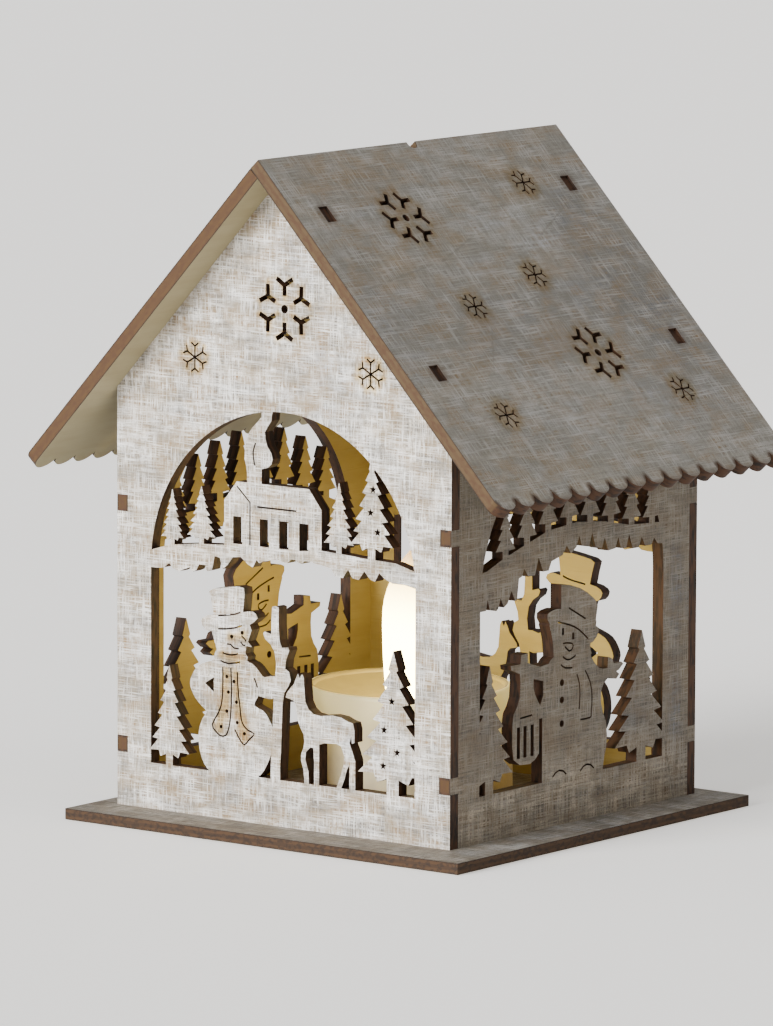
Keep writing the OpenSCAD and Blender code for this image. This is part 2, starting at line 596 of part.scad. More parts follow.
module base_plate() color(grey) difference() {
    translate([-base_w / 2, -base_d / 2, 0]) cube([base_w, base_d, base_t]);
    translate([0, 0, -over]) cylinder(base_t + 2 * over, r = candle_d / 2 + candle_gap);
    translate([-house_left, house_back, -over]) linear_extrude(base_t + 2 * over) {
        base_slots((house_d - wall_t) / 2);
        rotate(90) base_slots((house_w - wall_t) / 2);
    }
}

// Roof panels, drawn flat: X runs down the slope from the ridge, Y along the ridge

scallop_pitch = roof_d / scallop_count;
scallop_r = (scallop_pitch * scallop_pitch / 4 + scallop_h * scallop_h) / (2 * scallop_h);

// Snowflake places in shares of the panel's length and depth, from the ridge's middle
roof_flake_shares = [[0.18, -0.178], [0.624, 0.122]];
roof_fine_flake_shares = [[0.448, -0.156], [0.123, 0.263], [0.385, 0.096], [0.759, 0.306],
    [0.752, -0.289]];

module at_roof(share) translate([share[0] * roof_len, share[1] * roof_d]) rotate(90) children();

// One round scallop tip, cut to its own strip of the eave
module scallop() intersection() {
    translate([roof_len - scallop_r, 0]) circle(scallop_r, $fn = 32);
    translate([roof_len - scallop_h - over, -scallop_pitch / 2])
        square([scallop_h + 2 * over, scallop_pitch]);
}

module roof_shape(start) {
    difference() {
        union() {
            translate([start, -roof_d / 2]) square([roof_len - scallop_h - start, roof_d]);
            for (i = [0:scallop_count - 1]) translate([0, scallop_pitch * (i + 1 / 2) - roof_d / 2])
                scallop();
        }
        for (u = [roof_tab_upper, roof_tab_lower], s = [-1, 1])
            translate([u, s * (house_d - wall_t) / 2])
                square([roof_tab_len + tab_play, wall_t + tab_play], center = true);
        for (p = roof_flake_shares) at_roof(p) flake();
        for (p = roof_fine_flake_shares) at_roof(p) fine_flake();
    }
}

// Round-ended notch in the middle of the ridge edge
module ridge_notch() {
    depth = ridge_notch_h - ridge_notch_w / 2;
    translate([depth, 0]) circle(ridge_notch_w / 2);
    translate([-over, -ridge_notch_w / 2]) square([over + depth, ridge_notch_w]);
}

module roof_panel() translate([0, 0, ridge_h]) rotate([0, roof_slope, 0])
    linear_extrude(roof_t) children();

module roof_right() color(aged) on_floor() roof_panel() difference() {
    roof_shape(right_start);
    translate([right_start, 0]) ridge_notch();
}
module roof_left() color(aged) on_floor() rotate(180) roof_panel() roof_shape(left_start);

// Candle, standing on the table at the middle of the base plate

shell_r = candle_d / 2;
inner_r = shell_r - shell_wall;
shell_draft = 0.3;
rim_round = 0.8;
rim_steps = 8;
dish_z = candle_rim - dish_h;
dish_steps = 8;
dish_power = 2.4;

// Flame lens: its foot sits on the dish and its neck snaps into the dish's hole
flame_foot_r = 4.7;
flame_steps = 16;
flame_tip_power = 1.15;
flame_round_power = 0.9;
lens_wall = 0.9;
lens_tip = 2.7;
lens_seat = 0.4;
lens_play = 0.1;
snap_bead = 0.4;
snap_h = 0.9;
dish_in = flame_foot_r - lens_seat;
neck_r = dish_in - lens_play;
dish_out = shell_r - shell_draft - 2 * rim_round;

// Candle's wax-like surface between the flame and the rim
function dish(s) = [along(dish_in, dish_out, s), dish_z + (dish_h - rim_round) * pow(s, dish_power)];

// Cap screws and the shell's bosses for them
boss_place = [14.2, -9.5];
boss_r = 2.4;
boss_top = 12;
boss_web = 1;
cap_pad_top = 2.7;
cap_pad_r = 3;
cap_seat = 1.5;
cap_screw_r = 1;
cap_screw_len = 8;
cap_head_r = 2;
cap_head_h = 1.2;
head_play = 0.2;
screw_play = 0.05;

module at_bosses() for (s = [0, 1]) mirror([s, 0]) translate(concat(boss_place, 0)) children();

module candle_shell() color([0.93, 0.89, 0.76]) difference() {
    union() {
        rotate_extrude() polygon(concat([[inner_r, 0], [shell_r, 0]],
            arc([shell_r - shell_draft - rim_round, candle_rim - rim_round], rim_round, 0, 180, rim_steps),
            [for (i = [dish_steps:-1:0]) dish(i / dish_steps)],
            [for (i = [0:dish_steps]) dish(i / dish_steps) - [0, shell_wall]],
            [[inner_r - shell_draft, dish(1)[1] - shell_wall]]));
        at_bosses() {
            translate([0, 0, cap_pad_top]) cylinder(boss_top - cap_pad_top, r = boss_r);
            rotate(atan2(boss_place[1], boss_place[0])) translate([0, -boss_web / 2, cap_pad_top])
                cube([shell_r - shell_wall / 2 - norm(boss_place), boss_web, boss_top - cap_pad_top]);
        }
    }
    at_bosses() translate([0, 0, cap_pad_top - over])
        cylinder(cap_screw_len + over, r = cap_screw_r + screw_play);
}

// Flame's half width at a height: slim at the foot, full at flame_wide_z, pointed above
function flame_half(z) = z < flame_wide_z
    ? flame_foot_r + (flame_d / 2 - flame_foot_r) * sin(90 * (z - dish_z) / (flame_wide_z - dish_z))
    : flame_d / 2 * pow(max(0, cos(90 * pow((z - flame_wide_z) / (flame_tip - flame_wide_z),
        flame_tip_power))), flame_round_power);

module flame_lens() {
    foot = dish_z - shell_wall - lens_play - snap_h;
    flame = [for (i = [0:flame_steps]) let (z = along(dish_z, flame_tip, i / flame_steps))
        [flame_half(z), z]];
    core = [for (p = flame) if (p[1] > dish_z && p[1] < flame_tip - lens_tip)
        [max(p[0] - lens_wall, 0), p[1]]];
    color([1, 0.93, 0.7]) rotate_extrude() polygon(concat(
        [[neck_r - lens_wall, foot], [neck_r, foot], [neck_r + snap_bead, foot + snap_h - lens_play],
            [neck_r + snap_bead, foot + snap_h], [neck_r, foot + snap_h], [neck_r, dish_z]],
        flame,
        [[0, core[len(core) - 1][1]]],
        [for (i = [len(core) - 2:-1:0]) core[i]]));
}

// LED on its legs, and the board that carries both with the switch
led_r = 2.5;
led_flange = 0.4;
led_flange_h = 1;
led_foot = 20.4;
led_h = 8.6;
leg_w = 0.5;
leg_pitch = 2.54;
leg_room = 0.5;
board_top = 9.2;
board_t = 1;
board_w = 16;
board_front = -17.4;
board_back = 9;
board_play = 0.15;
board_z = board_top - board_t;
post_place = [6, -13.8];
post_r = 1.7;
board_screw_r = 0.8;
board_screw_len = 5;
board_head_r = 1.5;
board_head_h = 1;

module led() color([0.95, 0.95, 0.85]) translate([0, 0, led_foot]) {
    cylinder(led_flange_h, r = led_r + led_flange);
    cylinder(led_h - led_r, r = led_r);
    translate([0, 0, led_h - led_r]) intersection() {
        sphere(led_r);
        translate([-led_r, -led_r, 0]) cube([2 * led_r, 2 * led_r, led_r]);
    }
}

module at_legs() for (s = [-1, 1]) translate([s * leg_pitch / 2, 0, 0]) children();

module led_legs() color("silver") at_legs()
    post_box(leg_w, leg_w, board_z - leg_w, led_foot - board_z + leg_w);

module at_posts() for (s = [-1, 1]) translate([s * post_place[0], post_place[1], 0]) children();

module circuit_board() color([0.1, 0.4, 0.2]) difference() {
    leg_hole = leg_w + 2 * board_play;
    translate([-board_w / 2, board_front, board_z])
        cube([board_w, board_back - board_front, board_t]);
    at_legs() post_box(leg_hole, leg_hole, board_z - over, board_t + 2 * over);
    at_posts() translate([0, 0, board_z - over])
        cylinder(board_t + 2 * over, r = board_screw_r + board_play);
}

// Cross recess in the end of a screw head of radius r and height h that starts at Z = 0
module cross_recess(r, h) {
    reach_share = 0.6;
    slot_share = 0.25;
    depth_share = 0.5;
    for (a = [0, 90]) rotate(a) translate([-r * reach_share, -r * slot_share / 2, -over])
        cube([2 * r * reach_share, r * slot_share, h * depth_share + over]);
}

// Screw hanging from its head's seat at Z = 0: the shaft runs up, the driver comes from below
module screw(r, length, head_r, head_h) {
    cylinder(length, r = r);
    translate([0, 0, -head_h]) difference() {
        cylinder(head_h, r = head_r);
        cross_recess(head_r, head_h);
    }
}

module board_screws() color("silver") at_posts() translate([0, 0, board_top]) mirror([0, 0, 1])
    screw(board_screw_r, board_screw_len, board_head_r, board_head_h);

module cap_screws() color("silver") at_bosses() translate([0, 0, cap_seat])
    screw(cap_screw_r, cap_screw_len, cap_head_r, cap_head_h);

// Coin cell of the common 20 mm size, wide can down, and its well in the bottom cap
cell_d = 20;
cell_t = 3.2;
cell_pole_in = 1.2;
cell_pole_h = 0.3;
cell_play = 0.25;
cell_lift = 0.15;
cap_t = 1.6;
cap_play = 0.1;
well_at = [0, 4];
well_wall = 1;
well_roof = 1;
rib_t = 1;
rib_count = 6;

// Battery cover: a disc with three lugs under the cap's rim, turned free by a coin
cover_gap = 0.3;
cover_up = 0.2;
cover_pad = 0.45;
lug_count = 3;
lug_from = 90;
lug_reach = 1.3;
lug_h = 0.8;
lug_half = 12;
lug_side_play = 2;
lug_lift = 0.15;
lug_play = 0.3;
coin_slot = [12, 1.4];
coin_slot_h = 0.7;
well_r = cover_d / 2 + lug_reach + lug_play;
cell_z = cap_t + cover_pad + cell_lift;
cell_top = cell_z + cell_t;
rib_foot = cap_t + lug_lift + lug_h + lug_play;

// Slide switch under the board, its knob reaching down through the cap
switch_y = -15.3;
switch_w = 7.4;
switch_d = 3.8;
switch_h = 3.4;
knob_w = 2.4;
knob_d = 2;
knob_play = 0.3;
knob_foot = 0.5;
knob_gap = 0.1;

// Sector of a disc of radius r, half degrees to each side of angle a
module sector(r, a, half) intersection() {
    circle(r);
    rotate(a) polygon([[0, 0], 2 * r * [cos(half), -sin(half)], 2 * r * [cos(half), sin(half)]]);
}

module lugs(r, turn, half) for (i = [0:lug_count - 1])
    sector(r, lug_from + turn + 360 / lug_count * i, half);

module at_well() translate(concat(well_at, 0)) children();

// Windows in the well's roof for the soldered ends of the legs
module leg_windows() at_legs() post_box(leg_w + 2 * leg_room, leg_w + 2 * leg_room,
    board_z - well_roof - over, well_roof + 2 * over);

module bottom_cap() color([0.9, 0.88, 0.8]) difference() {
    rib_start = cell_d / 2 + cell_play;
    rib_end = well_r + well_wall / 2;
    intersection() {
        union() {
            cylinder(cap_t, r = inner_r - cap_play);
            at_bosses() cylinder(cap_pad_top, r = cap_pad_r);
            at_posts() cylinder(board_z, r = post_r);
            at_well() difference() {
                cylinder(board_z, r = well_r + well_wall);
                translate([0, 0, cap_t]) cylinder(board_z - well_roof - cap_t, r = well_r);
            }
            at_well() for (i = [0:rib_count - 1]) rotate(180 / rib_count * (2 * i + 1))
                translate([rib_start, -rib_t / 2, rib_foot])
                    cube([rib_end - rib_start, rib_t, board_z - well_roof / 2 - rib_foot]);
        }
        cylinder(board_z, r = inner_r - cap_play);
    }
    at_well() translate([0, 0, -over]) linear_extrude(cap_t + 2 * over) {
        circle(cover_d / 2 + cover_gap);
        lugs(well_r, cover_turn, lug_half + lug_side_play);
    }
    translate([0, switch_y, 0]) post_box(knob_w + switch_travel + 2 * knob_play, knob_d + 2 * knob_play,
        -over, cap_t + 2 * over);
    at_bosses() translate([0, 0, -over]) {
        cylinder(cap_pad_top + 2 * over, r = cap_screw_r + head_play);
        cylinder(cap_seat + over, r = cap_head_r + head_play);
    }
    at_posts() translate([0, 0, board_top - board_screw_len - head_play])
        cylinder(board_screw_len, r = board_screw_r + screw_play);
    contact_slots();
    leg_windows();
}

module battery_cover() color([0.88, 0.86, 0.78]) at_well() difference() {
    union() {
        translate([0, 0, cover_up]) cylinder(cap_t + lug_lift - cover_up, r = cover_d / 2);
        translate([0, 0, cover_up]) cylinder(cap_t + cover_pad - cover_up, r = cell_d / 2 - cell_pole_in);
        translate([0, 0, cap_t + lug_lift]) linear_extrude(lug_h) difference() {
            lugs(cover_d / 2 + lug_reach, 0, lug_half);
            circle(cover_d / 2 - lug_reach);
        }
    }
    post_box(coin_slot[0], coin_slot[1], cover_up - over, coin_slot_h + over);
}

module coin_cell() color("silver") at_well() translate([0, 0, cell_z]) {
    cylinder(cell_t - cell_pole_h, r = cell_d / 2);
    cylinder(cell_t, r = cell_d / 2 - cell_pole_in);
}

// Cell contacts: bent strips that reach through the well's roof to the board
strip_t = 0.3;
strip_w = 3;
strip_play = 0.15;
minus_foot = -5.5;
minus_tip = 1.5;
contact_bow = 1;
plus_x = cell_d / 2 + strip_t / 2 + screw_play;
contact_top = board_z - screw_play;

module strip(p) at_well() translate([0, strip_w / 2, 0]) rotate([90, 0, 0])
    linear_extrude(strip_w) line_cut(p, strip_t);

module contact_slots() at_well() for (x = [minus_foot, plus_x + contact_bow]) translate([x, 0, 0])
    post_box(strip_t + 2 * strip_play, strip_w + 2 * strip_play,
        board_z - well_roof - over, well_roof + 2 * over);

module minus_contact() color("silver") strip([[minus_foot, contact_top],
    [minus_foot, board_z - well_roof - strip_t], [minus_foot + contact_bow, cell_top + contact_bow],
    [minus_tip, cell_top + strip_t / 2 + screw_play],
    [minus_tip + contact_bow, cell_top + contact_bow / 2]]);

module plus_contact() color("silver") strip([[plus_x + contact_bow, contact_top],
    [plus_x + contact_bow, cell_top], [plus_x, cell_z + cell_t / 2], [plus_x + contact_bow / 2, rib_foot]]);

module slide_switch() color("silver") translate([0, switch_y, 0])
    post_box(switch_w, switch_d, board_z - switch_h, switch_h);

module switch_knob() color([0.15, 0.15, 0.15]) translate([-switch_travel / 2, switch_y, 0])
    post_box(knob_w, knob_d, knob_foot, board_z - switch_h - knob_gap - knob_foot);

base_plate();
front_wall();
back_wall();
right_wall();
left_wall();
roof_right();
roof_left();
candle_shell();
flame_lens();
led();
led_legs();
circuit_board();
board_screws();
slide_switch();
switch_knob();
bottom_cap();
cap_screws();
minus_contact();
plus_contact();
coin_cell();
battery_cover();
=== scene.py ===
import math

import bmesh
import bpy
from mathutils import Matrix, Vector


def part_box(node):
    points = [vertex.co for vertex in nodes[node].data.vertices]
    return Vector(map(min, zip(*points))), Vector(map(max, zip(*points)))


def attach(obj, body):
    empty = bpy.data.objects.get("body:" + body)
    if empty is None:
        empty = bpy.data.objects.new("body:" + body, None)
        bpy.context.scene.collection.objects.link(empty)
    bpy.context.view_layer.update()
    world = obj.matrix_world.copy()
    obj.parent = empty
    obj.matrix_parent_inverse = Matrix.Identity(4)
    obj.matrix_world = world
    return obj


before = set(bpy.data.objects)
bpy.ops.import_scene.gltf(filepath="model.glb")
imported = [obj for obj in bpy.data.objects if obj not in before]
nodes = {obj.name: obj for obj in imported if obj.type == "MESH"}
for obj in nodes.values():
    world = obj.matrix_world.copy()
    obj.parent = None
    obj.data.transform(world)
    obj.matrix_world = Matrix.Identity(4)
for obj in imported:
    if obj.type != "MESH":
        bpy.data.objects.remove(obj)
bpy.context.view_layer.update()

mm = 0.001


def paint(red, green, blue):  # a screen colour, 0 to 255, as shaders take it
    def linear(c):
        return c / 12.92 if c <= 0.04045 else ((c + 0.055) / 1.055) ** 2.4
    return tuple(linear(c / 255) for c in (red, green, blue)) + (1,)


class Flow:
    # one socket of a material, ready to be added, multiplied and compared
    def __init__(self, finish, socket):
        self.finish = finish
        self.socket = socket

    def sum(self, how, first, second):
        return self.finish.put("ShaderNodeMath", {"operation": how}, {0: first, 1: second})

    def __add__(self, other):
        return self.sum("ADD", self, other)

    __radd__ = __add__

    def __sub__(self, other):
        return self.sum("SUBTRACT", self, other)

    def __rsub__(self, other):
        return self.sum("SUBTRACT", other, self)

    def __mul__(self, other):
        return self.sum("MULTIPLY", self, other)

    __rmul__ = __mul__

    def __truediv__(self, other):
        return self.sum("DIVIDE", self, other)

    def __gt__(self, other):
        return self.sum("GREATER_THAN", self, other)

    def __mod__(self, other):
        return self.sum("FLOORED_MODULO", self, other)

    def __abs__(self):
        return self.sum("ABSOLUTE", self, 0)

    def least(self, other):
        return self.sum("MINIMUM", self, other)

    def most(self, other):
        return self.sum("MAXIMUM", self, other)


class Finish:
    # a material, and the one way in which nodes are put into it
    def __init__(self, name):
        self.material = bpy.data.materials.new(name)
        self.material.use_nodes = True
        self.tree = self.material.node_tree
        self.tree.nodes.clear()
        self.shader = self.tree.nodes.new("ShaderNodeBsdfPrincipled")
        output = self.tree.nodes.new("ShaderNodeOutputMaterial")
        self.tree.links.new(self.shader.outputs[0], output.inputs[0])

    def put(self, kind, settings=None, sockets=None, out=0):
        node = self.tree.nodes.new(kind)
        for key, value in (settings or {}).items():
            setattr(node, key, value)
        self.feed(node, sockets or {})
        return Flow(self, node.outputs[out])

    def feed(self, node, sockets):
        for key, value in sockets.items():
            if isinstance(value, Flow):
                self.tree.links.new(value.socket, node.inputs[key])
            else:
                node.inputs[key].default_value = value

    def wear(self, **sockets):  # base_color=... goes to Base Color, and so on
        self.feed(self.shader, {key.replace("_", " ").title(): value
                                for key, value in sockets.items()})

    def place(self, out="Object"):
        return self.put("ShaderNodeTexCoord", out=out)

    def vector(self, how, first, second, out=0):
        return self.put("ShaderNodeVectorMath", {"operation": how}, {0: first, 1: second}, out)

    def along(self, vector, axis):
        return self.vector("DOT_PRODUCT", vector, axis, "Value")

    def point(self, x, y, z=0.0):
        return self.put("ShaderNodeCombineXYZ", sockets={0: x, 1: y, 2: z})

    def rise(self, value, low, high, top=1.0):  # 0 at low, top at high, smooth between
        return self.put("ShaderNodeMapRange", {"interpolation_type": "SMOOTHSTEP"},
                        {0: value, 1: low, 2: high, 3: 0.0, 4: top})

    def grain(self, vector, size=1.0, detail=2.0, rough=0.5):
        return self.put("ShaderNodeTexNoise", {"noise_dimensions": "3D"}, {
            "Vector": vector, "Scale": size, "Detail": detail, "Roughness": rough})

    def length(self, vector):
        return self.vector("LENGTH", vector, (0, 0, 0), "Value")

    def blend(self, share, under, over, how="MIX"):
        return self.put("ShaderNodeMix", {"data_type": "RGBA", "blend_type": how},
                        {0: share, 6: under, 7: over}, 2)

    def relief(self, height, deep, strength=1.0):  # deep in mm
        return self.put("ShaderNodeBump", sockets={
            "Height": height, "Distance": deep * mm, "Strength": strength})


def dress(node, finish):
    slots = nodes[node].data.materials
    slots.clear()
    slots.append(finish.material)


house = {
    "slope": 47,  # degrees of both roof panels
    "wall": 2.7,  # mm of plywood in walls and roof
    "floor": 2.3,
    "roofDepth": 100,
    "roofTabs": (12.2, 52.8),  # mm down the slope
    "scallops": 16,
    "roofLength": 86.2,
}
frontLow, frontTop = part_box("front_wall")
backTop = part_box("back_wall")[1]
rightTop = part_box("right_wall")[1]
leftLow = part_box("left_wall")[0]
baseLow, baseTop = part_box("base_plate")
middleX = (frontLow.x + frontTop.x) / 2
middleY = (frontLow.y + backTop.y) / 2
ridge = Vector((middleX, middleY, frontTop.z))
slope = math.radians(house["slope"])
roofOut = Vector((math.sin(slope), 0, math.cos(slope)))
roofDown = Vector((math.cos(slope), 0, -math.sin(slope)))
halfTurn = Matrix.Rotation(math.pi, 3, "Z")


def panel(foot, along, across, out, thick):
    return {"foot": Vector(foot), "along": Vector(along), "across": Vector(across),
            "out": Vector(out), "thick": thick}


panels = {
    "front_wall": panel((middleX, frontLow.y, baseTop.z), (1, 0, 0), (0, 0, 1), (0, -1, 0),
                        house["wall"]),
    "back_wall": panel((middleX, backTop.y, baseTop.z), (-1, 0, 0), (0, 0, 1), (0, 1, 0),
                       house["wall"]),
    "right_wall": panel((rightTop.x, middleY, baseTop.z), (0, 1, 0), (0, 0, 1), (1, 0, 0),
                        house["wall"]),
    "left_wall": panel((leftLow.x, middleY, baseTop.z), (0, -1, 0), (0, 0, 1), (-1, 0, 0),
                       house["wall"]),
    "roof_right": panel(ridge + house["wall"] * mm * roofOut, (0, 1, 0), roofDown, roofOut,
                        house["wall"]),
    "roof_left": panel(ridge + house["wall"] * mm * (halfTurn @ roofOut), (0, -1, 0),
                       halfTurn @ roofDown, halfTurn @ roofOut, house["wall"]),
    "base_plate": panel((0, 0, baseTop.z), (1, 0, 0), (0, 1, 0), (0, 0, 1), house["floor"]),
}
print("frame loaded,", len(nodes), "nodes")


# Printed plywood: a linen weave in paint over a darker ground, bare wood inside, burnt edges

gableLook = {
    "thread": paint(233, 231, 227), "warm": paint(222, 210, 192), "cool": paint(176, 181, 189),
    "faded": paint(138, 124, 100), "light": paint(254, 252, 248),
    "ground": paint(104, 98, 90), "groundWarm": paint(134, 108, 74),
    "warmShare": 0.75, "coolShare": 0.6, "cover": 0.95, "wornThrough": 0.3, "fading": 0.85,
    "fine": 0.34, "run": 3.2, "patch": 13,  # mm: thread width, thread length, cloud size
    "halo": 1.1, "scorch": paint(226, 196, 128), "soot": paint(66, 48, 34),
    "burnt": paint(66, 42, 25), "char": paint(30, 20, 13), "ply": paint(70, 48, 20),
    # inside: bare inner wood, golden partly from its own tone and partly as painted warm candle
    # light; roofLook gives the same wood a greyer copy
    "inside": paint(168, 148, 88), "insideDark": paint(150, 128, 68),
}
# The side walls, roof and base take darker copies of the gables' print: partly their own duller
# paint, partly painted shade of faces turned from the key light
sideLook = dict(gableLook, thread=paint(118, 111, 100), warm=paint(112, 98, 79),
                cool=paint(90, 95, 103), faded=paint(103, 91, 73), light=paint(136, 130, 120),
                ground=paint(68, 62, 54), groundWarm=paint(80, 66, 49), cover=0.88,
                wornThrough=0.26, warmShare=0.8, fine=0.32, run=3.4, fading=0.6)
roofLook = dict(gableLook, thread=paint(145, 142, 136), warm=paint(135, 128, 111),
                cool=paint(124, 131, 140), faded=paint(110, 105, 94), light=paint(163, 161, 157),
                ground=paint(102, 98, 90), groundWarm=paint(112, 95, 73), cover=0.9,
                wornThrough=0.24, warmShare=0.6, patch=18, run=5, fine=0.3, halo=1.9,
                scorch=paint(218, 196, 152), fading=0.6, ply=paint(78, 60, 37),
                inside=paint(158, 148, 116), insideDark=paint(144, 132, 98))
leftRoofLook = dict(roofLook, ply=paint(76, 53, 27))
baseLook = dict(sideLook, thread=paint(154, 149, 139), warm=paint(144, 132, 113),
                light=paint(176, 170, 160), ply=paint(64, 43, 23), burnt=paint(22, 14, 9))

# What the laser scorched, how the print varies, and painted shade and light, in mm on the panel
paleGreyAndPaintedLight, tan, dusk, footLightTone = (paint(172, 176, 180), paint(134, 113, 84), paint(86, 88, 92),
                          paint(178, 166, 146))
eaveShadowTone, bark = paint(74, 66, 54), paint(134, 100, 62)
gableMarks = {  # flakes: along, across, radius
    "turn": 30, "flakes": [(0.6, 104.9, 6.7), (-22.3, 93.5, 3.3), (22.3, 93.5, 3.3)],
    # the snowman's scarf: start, end, half the width
    "lines": [((-14, 30.5), (-14.2, 24.5), 0.9), ((-14.2, 24.5), (-16, 18.6), 1.2),
              ((-11.7, 30), (-11.2, 24.3), 0.9), ((-11.2, 24.3), (-9.4, 17.6), 1.2),
              ((-15.2, 33.4), (-10.4, 33.2), 0.8), ((-13, 37.4), (-9.6, 38), 0.9)],
    "bands": [(10, 85, 108, 2.6, 0.6)],  # along, low, high, half the width, share
    # along, across, half the width and the height, tone, share
    "stains": [(-24, 6, 11, 2.4, bark, 0.8), (-4, 3, 14, 1.8, bark, 0.7),
               (18, 7, 10, 2, bark, 0.7), (34, 3, 9, 2, bark, 0.5),
               (-38, 60, 3, 5, bark, 0.35), (38, 38, 3, 6, bark, 0.3),
               (-32, 92, 7, 5, gableLook["warm"], 0.6), (28, 84, 9, 5, gableLook["warm"], 0.6),
               (-12, 101, 6, 8, gableLook["warm"], 0.5)],
    "cracks": [],
}
sideMarks = {
    "turn": 0, "flakes": [], "lines": [],
    "bands": [(35, -4, 56, 3.2, 0.85), (-30, 44, 70, 3, 0.35)],
    # painted shade: a darker band at the top, under the eaves; painted light: a lighter band along
    # the foot, above the base plate
    "stains": [(0, 72, 60, 14, eaveShadowTone, 0.6), (-38, 30, 3, 40, tan, 0.2), (0, 3, 60, 14, footLightTone, 1)],
    "cracks": [((31, 13), (34.5, 0))],
}
roofMarks = {
    "turn": 0, "flakes": [(-17.8, 15.5, 6.7), (12.2, 53.8, 6.7), (-15.6, 38.6, 3.3),
                          (26.3, 10.6, 3.3), (9.6, 33.2, 3.3), (30.6, 65.4, 3.3),
                          (-28.9, 64.8, 3.3)],
    "lines": [], "bands": [],
    "stains": [(-28, 4, 24, 7, tan, 0.6), (-34, 27, 14, 6, tan, 0.55), (22, 31, 12, 5, tan, 0.6),
               (30, 6, 16, 6, tan, 0.35), (24, 70.5, 5, 1.6, tan, 0.7), (-5, 23, 8, 1.6, tan, 0.5),
               (38, 36, 18, 32, dusk, 0.95), (-43, 42, 7, 9, dusk, 0.5), (36, 18, 9, 5, dusk, 0.5),
               (-2, 44, 40, 14, dusk, 0.65), (34, 62, 20, 16, dusk, 0.5),
               (8, 18, 12, 4, paleGreyAndPaintedLight, 0.75), (-6, 29, 8, 3.5, paleGreyAndPaintedLight, 0.7),
               (17, 26, 9, 3, paleGreyAndPaintedLight, 0.55), (-2, 70, 40, 8, paleGreyAndPaintedLight, 0.3)],
    "cracks": [((-8, 41), (6, 38.4)), ((-16, 27), (-1, 22)), ((20, 24), (40, 15)),
               ((-44, 31), (-20, 27.5)), ((-24, 55), (-15, 44))],
}
baseMarks = {"turn": 0, "flakes": [], "lines": [], "bands": [], "cracks": [],
             # painted light: a pale strip along the plate's right side, under the roof's eave
             "stains": [(0, -46, 40, 3, tan, 0.4), (46, 4, 6, 60, paleGreyAndPaintedLight, 0.8)]}


# Snowflake arms in shares of the radius and in degrees, and the tint round a cut in mm
flake = {"arms": 6, "forkAt": 0.72, "stemFrom": 0.3, "twig": 0.36, "lean": 58}
scorch = {"armHalf": 0.5, "full": -0.7, "waver": (2.6, 1.8, 1.8, 13, 2), "share": 0.85}


def toArms(finish, spot, flakes, turn):
    # distance in mm from the forked arms of the nearest snowflake, folded onto one arm
    near = None
    for x, y, radius in flakes:
        local = finish.vector("SUBTRACT", spot, (x, y, -radius))  # its Z keeps the radius
        if near is None:
            near, gap = local, finish.length(local)
            continue
        other = finish.length(local)
        near = finish.put("ShaderNodeMix", {"data_type": "VECTOR"},
                          {0: gap > other, 4: near, 5: local}, 1)
        gap = gap.least(other)
    x, y, radius = (finish.put("ShaderNodeSeparateXYZ", sockets={0: near}, out=i)
                    for i in range(3))
    out = finish.length(finish.point(x, y))
    share = 2 * math.pi / flake["arms"]
    fold = abs((y.sum("ARCTAN2", y, x) + (share / 2 - math.radians(turn))) % share
               - share / 2)
    ahead = out * fold.sum("COSINE", fold, 0)
    aside = out * fold.sum("SINE", fold, 0)
    fork = radius * flake["forkAt"]
    stem = finish.length(finish.point(
        (radius * flake["stemFrom"] - ahead).most(ahead - fork).most(0), aside))
    lean = math.radians(flake["lean"])
    reach = (ahead - fork) * math.cos(lean) + aside * math.sin(lean)
    off = aside * math.cos(lean) - (ahead - fork) * math.sin(lean)
    twig = finish.length(finish.point(
        (0 - reach).most(reach - radius * flake["twig"]).most(0), off))
    return stem.least(twig)


def scorched(finish, spot, marks, halo, ragged):
    # 1 where the beam tinted the print, fading out over a millimetre or so
    near = None
    if marks["flakes"]:
        near = toArms(finish, spot, marks["flakes"], marks["turn"]) - scorch["armHalf"]
    for start, end, wide in marks["lines"]:
        gap = fromLine(finish, spot, start, end) - wide
        near = gap if near is None else near.least(gap)
    return None if near is None else finish.rise(near + ragged, halo, scorch["full"])


def fromLine(finish, spot, start, end):
    start, end = Vector(start).to_3d(), Vector(end).to_3d()
    run = end - start
    reach = finish.vector("SUBTRACT", spot, start)
    share = finish.along(reach, run / run.length_squared)
    held = finish.put("ShaderNodeClamp", sockets={0: share, 1: 0.0, 2: 1.0})
    back = finish.put("ShaderNodeVectorMath", {"operation": "SCALE"}, {0: run, "Scale": held})
    return finish.vector("DISTANCE", reach, back, "Value")


# How the linen varies, in widths (fine) and lengths (run) of its threads, in patches or in mm
clouds = {  # width and height with their units, own number, detail, where the tone runs
    "worn": (0.7, "patch", 0.5, "patch", 3, 3, 0.34, 0.66),
    "warm": (1, "patch", 0.6, "patch", 1, 3, 0.42, 0.66),
    "cool": (1.6, "patch", 2.2, "patch", 2, 3, 0.5, 0.7),
    "fadedUpright": (1, "fine", 2, "run", 6, 2, 0.54, 0.68),
    "fadedLevel": (3, "run", 1, "fine", 7, 2, 0.52, 0.66),
    "gapsLevel": (2, "run", 1.2, "fine", 23, 2, 0.55, 0.68),
    "gapsUpright": (1.2, "fine", 1.2, "run", 24, 2, 0.58, 0.7),
    "upright": (1, "fine", 3, "run", 4, 1, 0.36, 0.6),
    "level": (4, "run", 1, "fine", 5, 1, 0.36, 0.6),
    "thin": (0.4, "mm", 0.4, "mm", 20, 1, 0.35, 0.65),
    "ground": (6, "mm", 4, "mm", 14, 3, 0.42, 0.6),
    "raisedUpright": (0.75, "fine", 1.1, "run", 8, 1, 0.48, 0.66),
    "raisedLevel": (1.6, "run", 0.75, "fine", 9, 1, 0.48, 0.66),
    "bare": (5, "mm", 3, "mm", 19, 3, 0.36, 0.64),
}
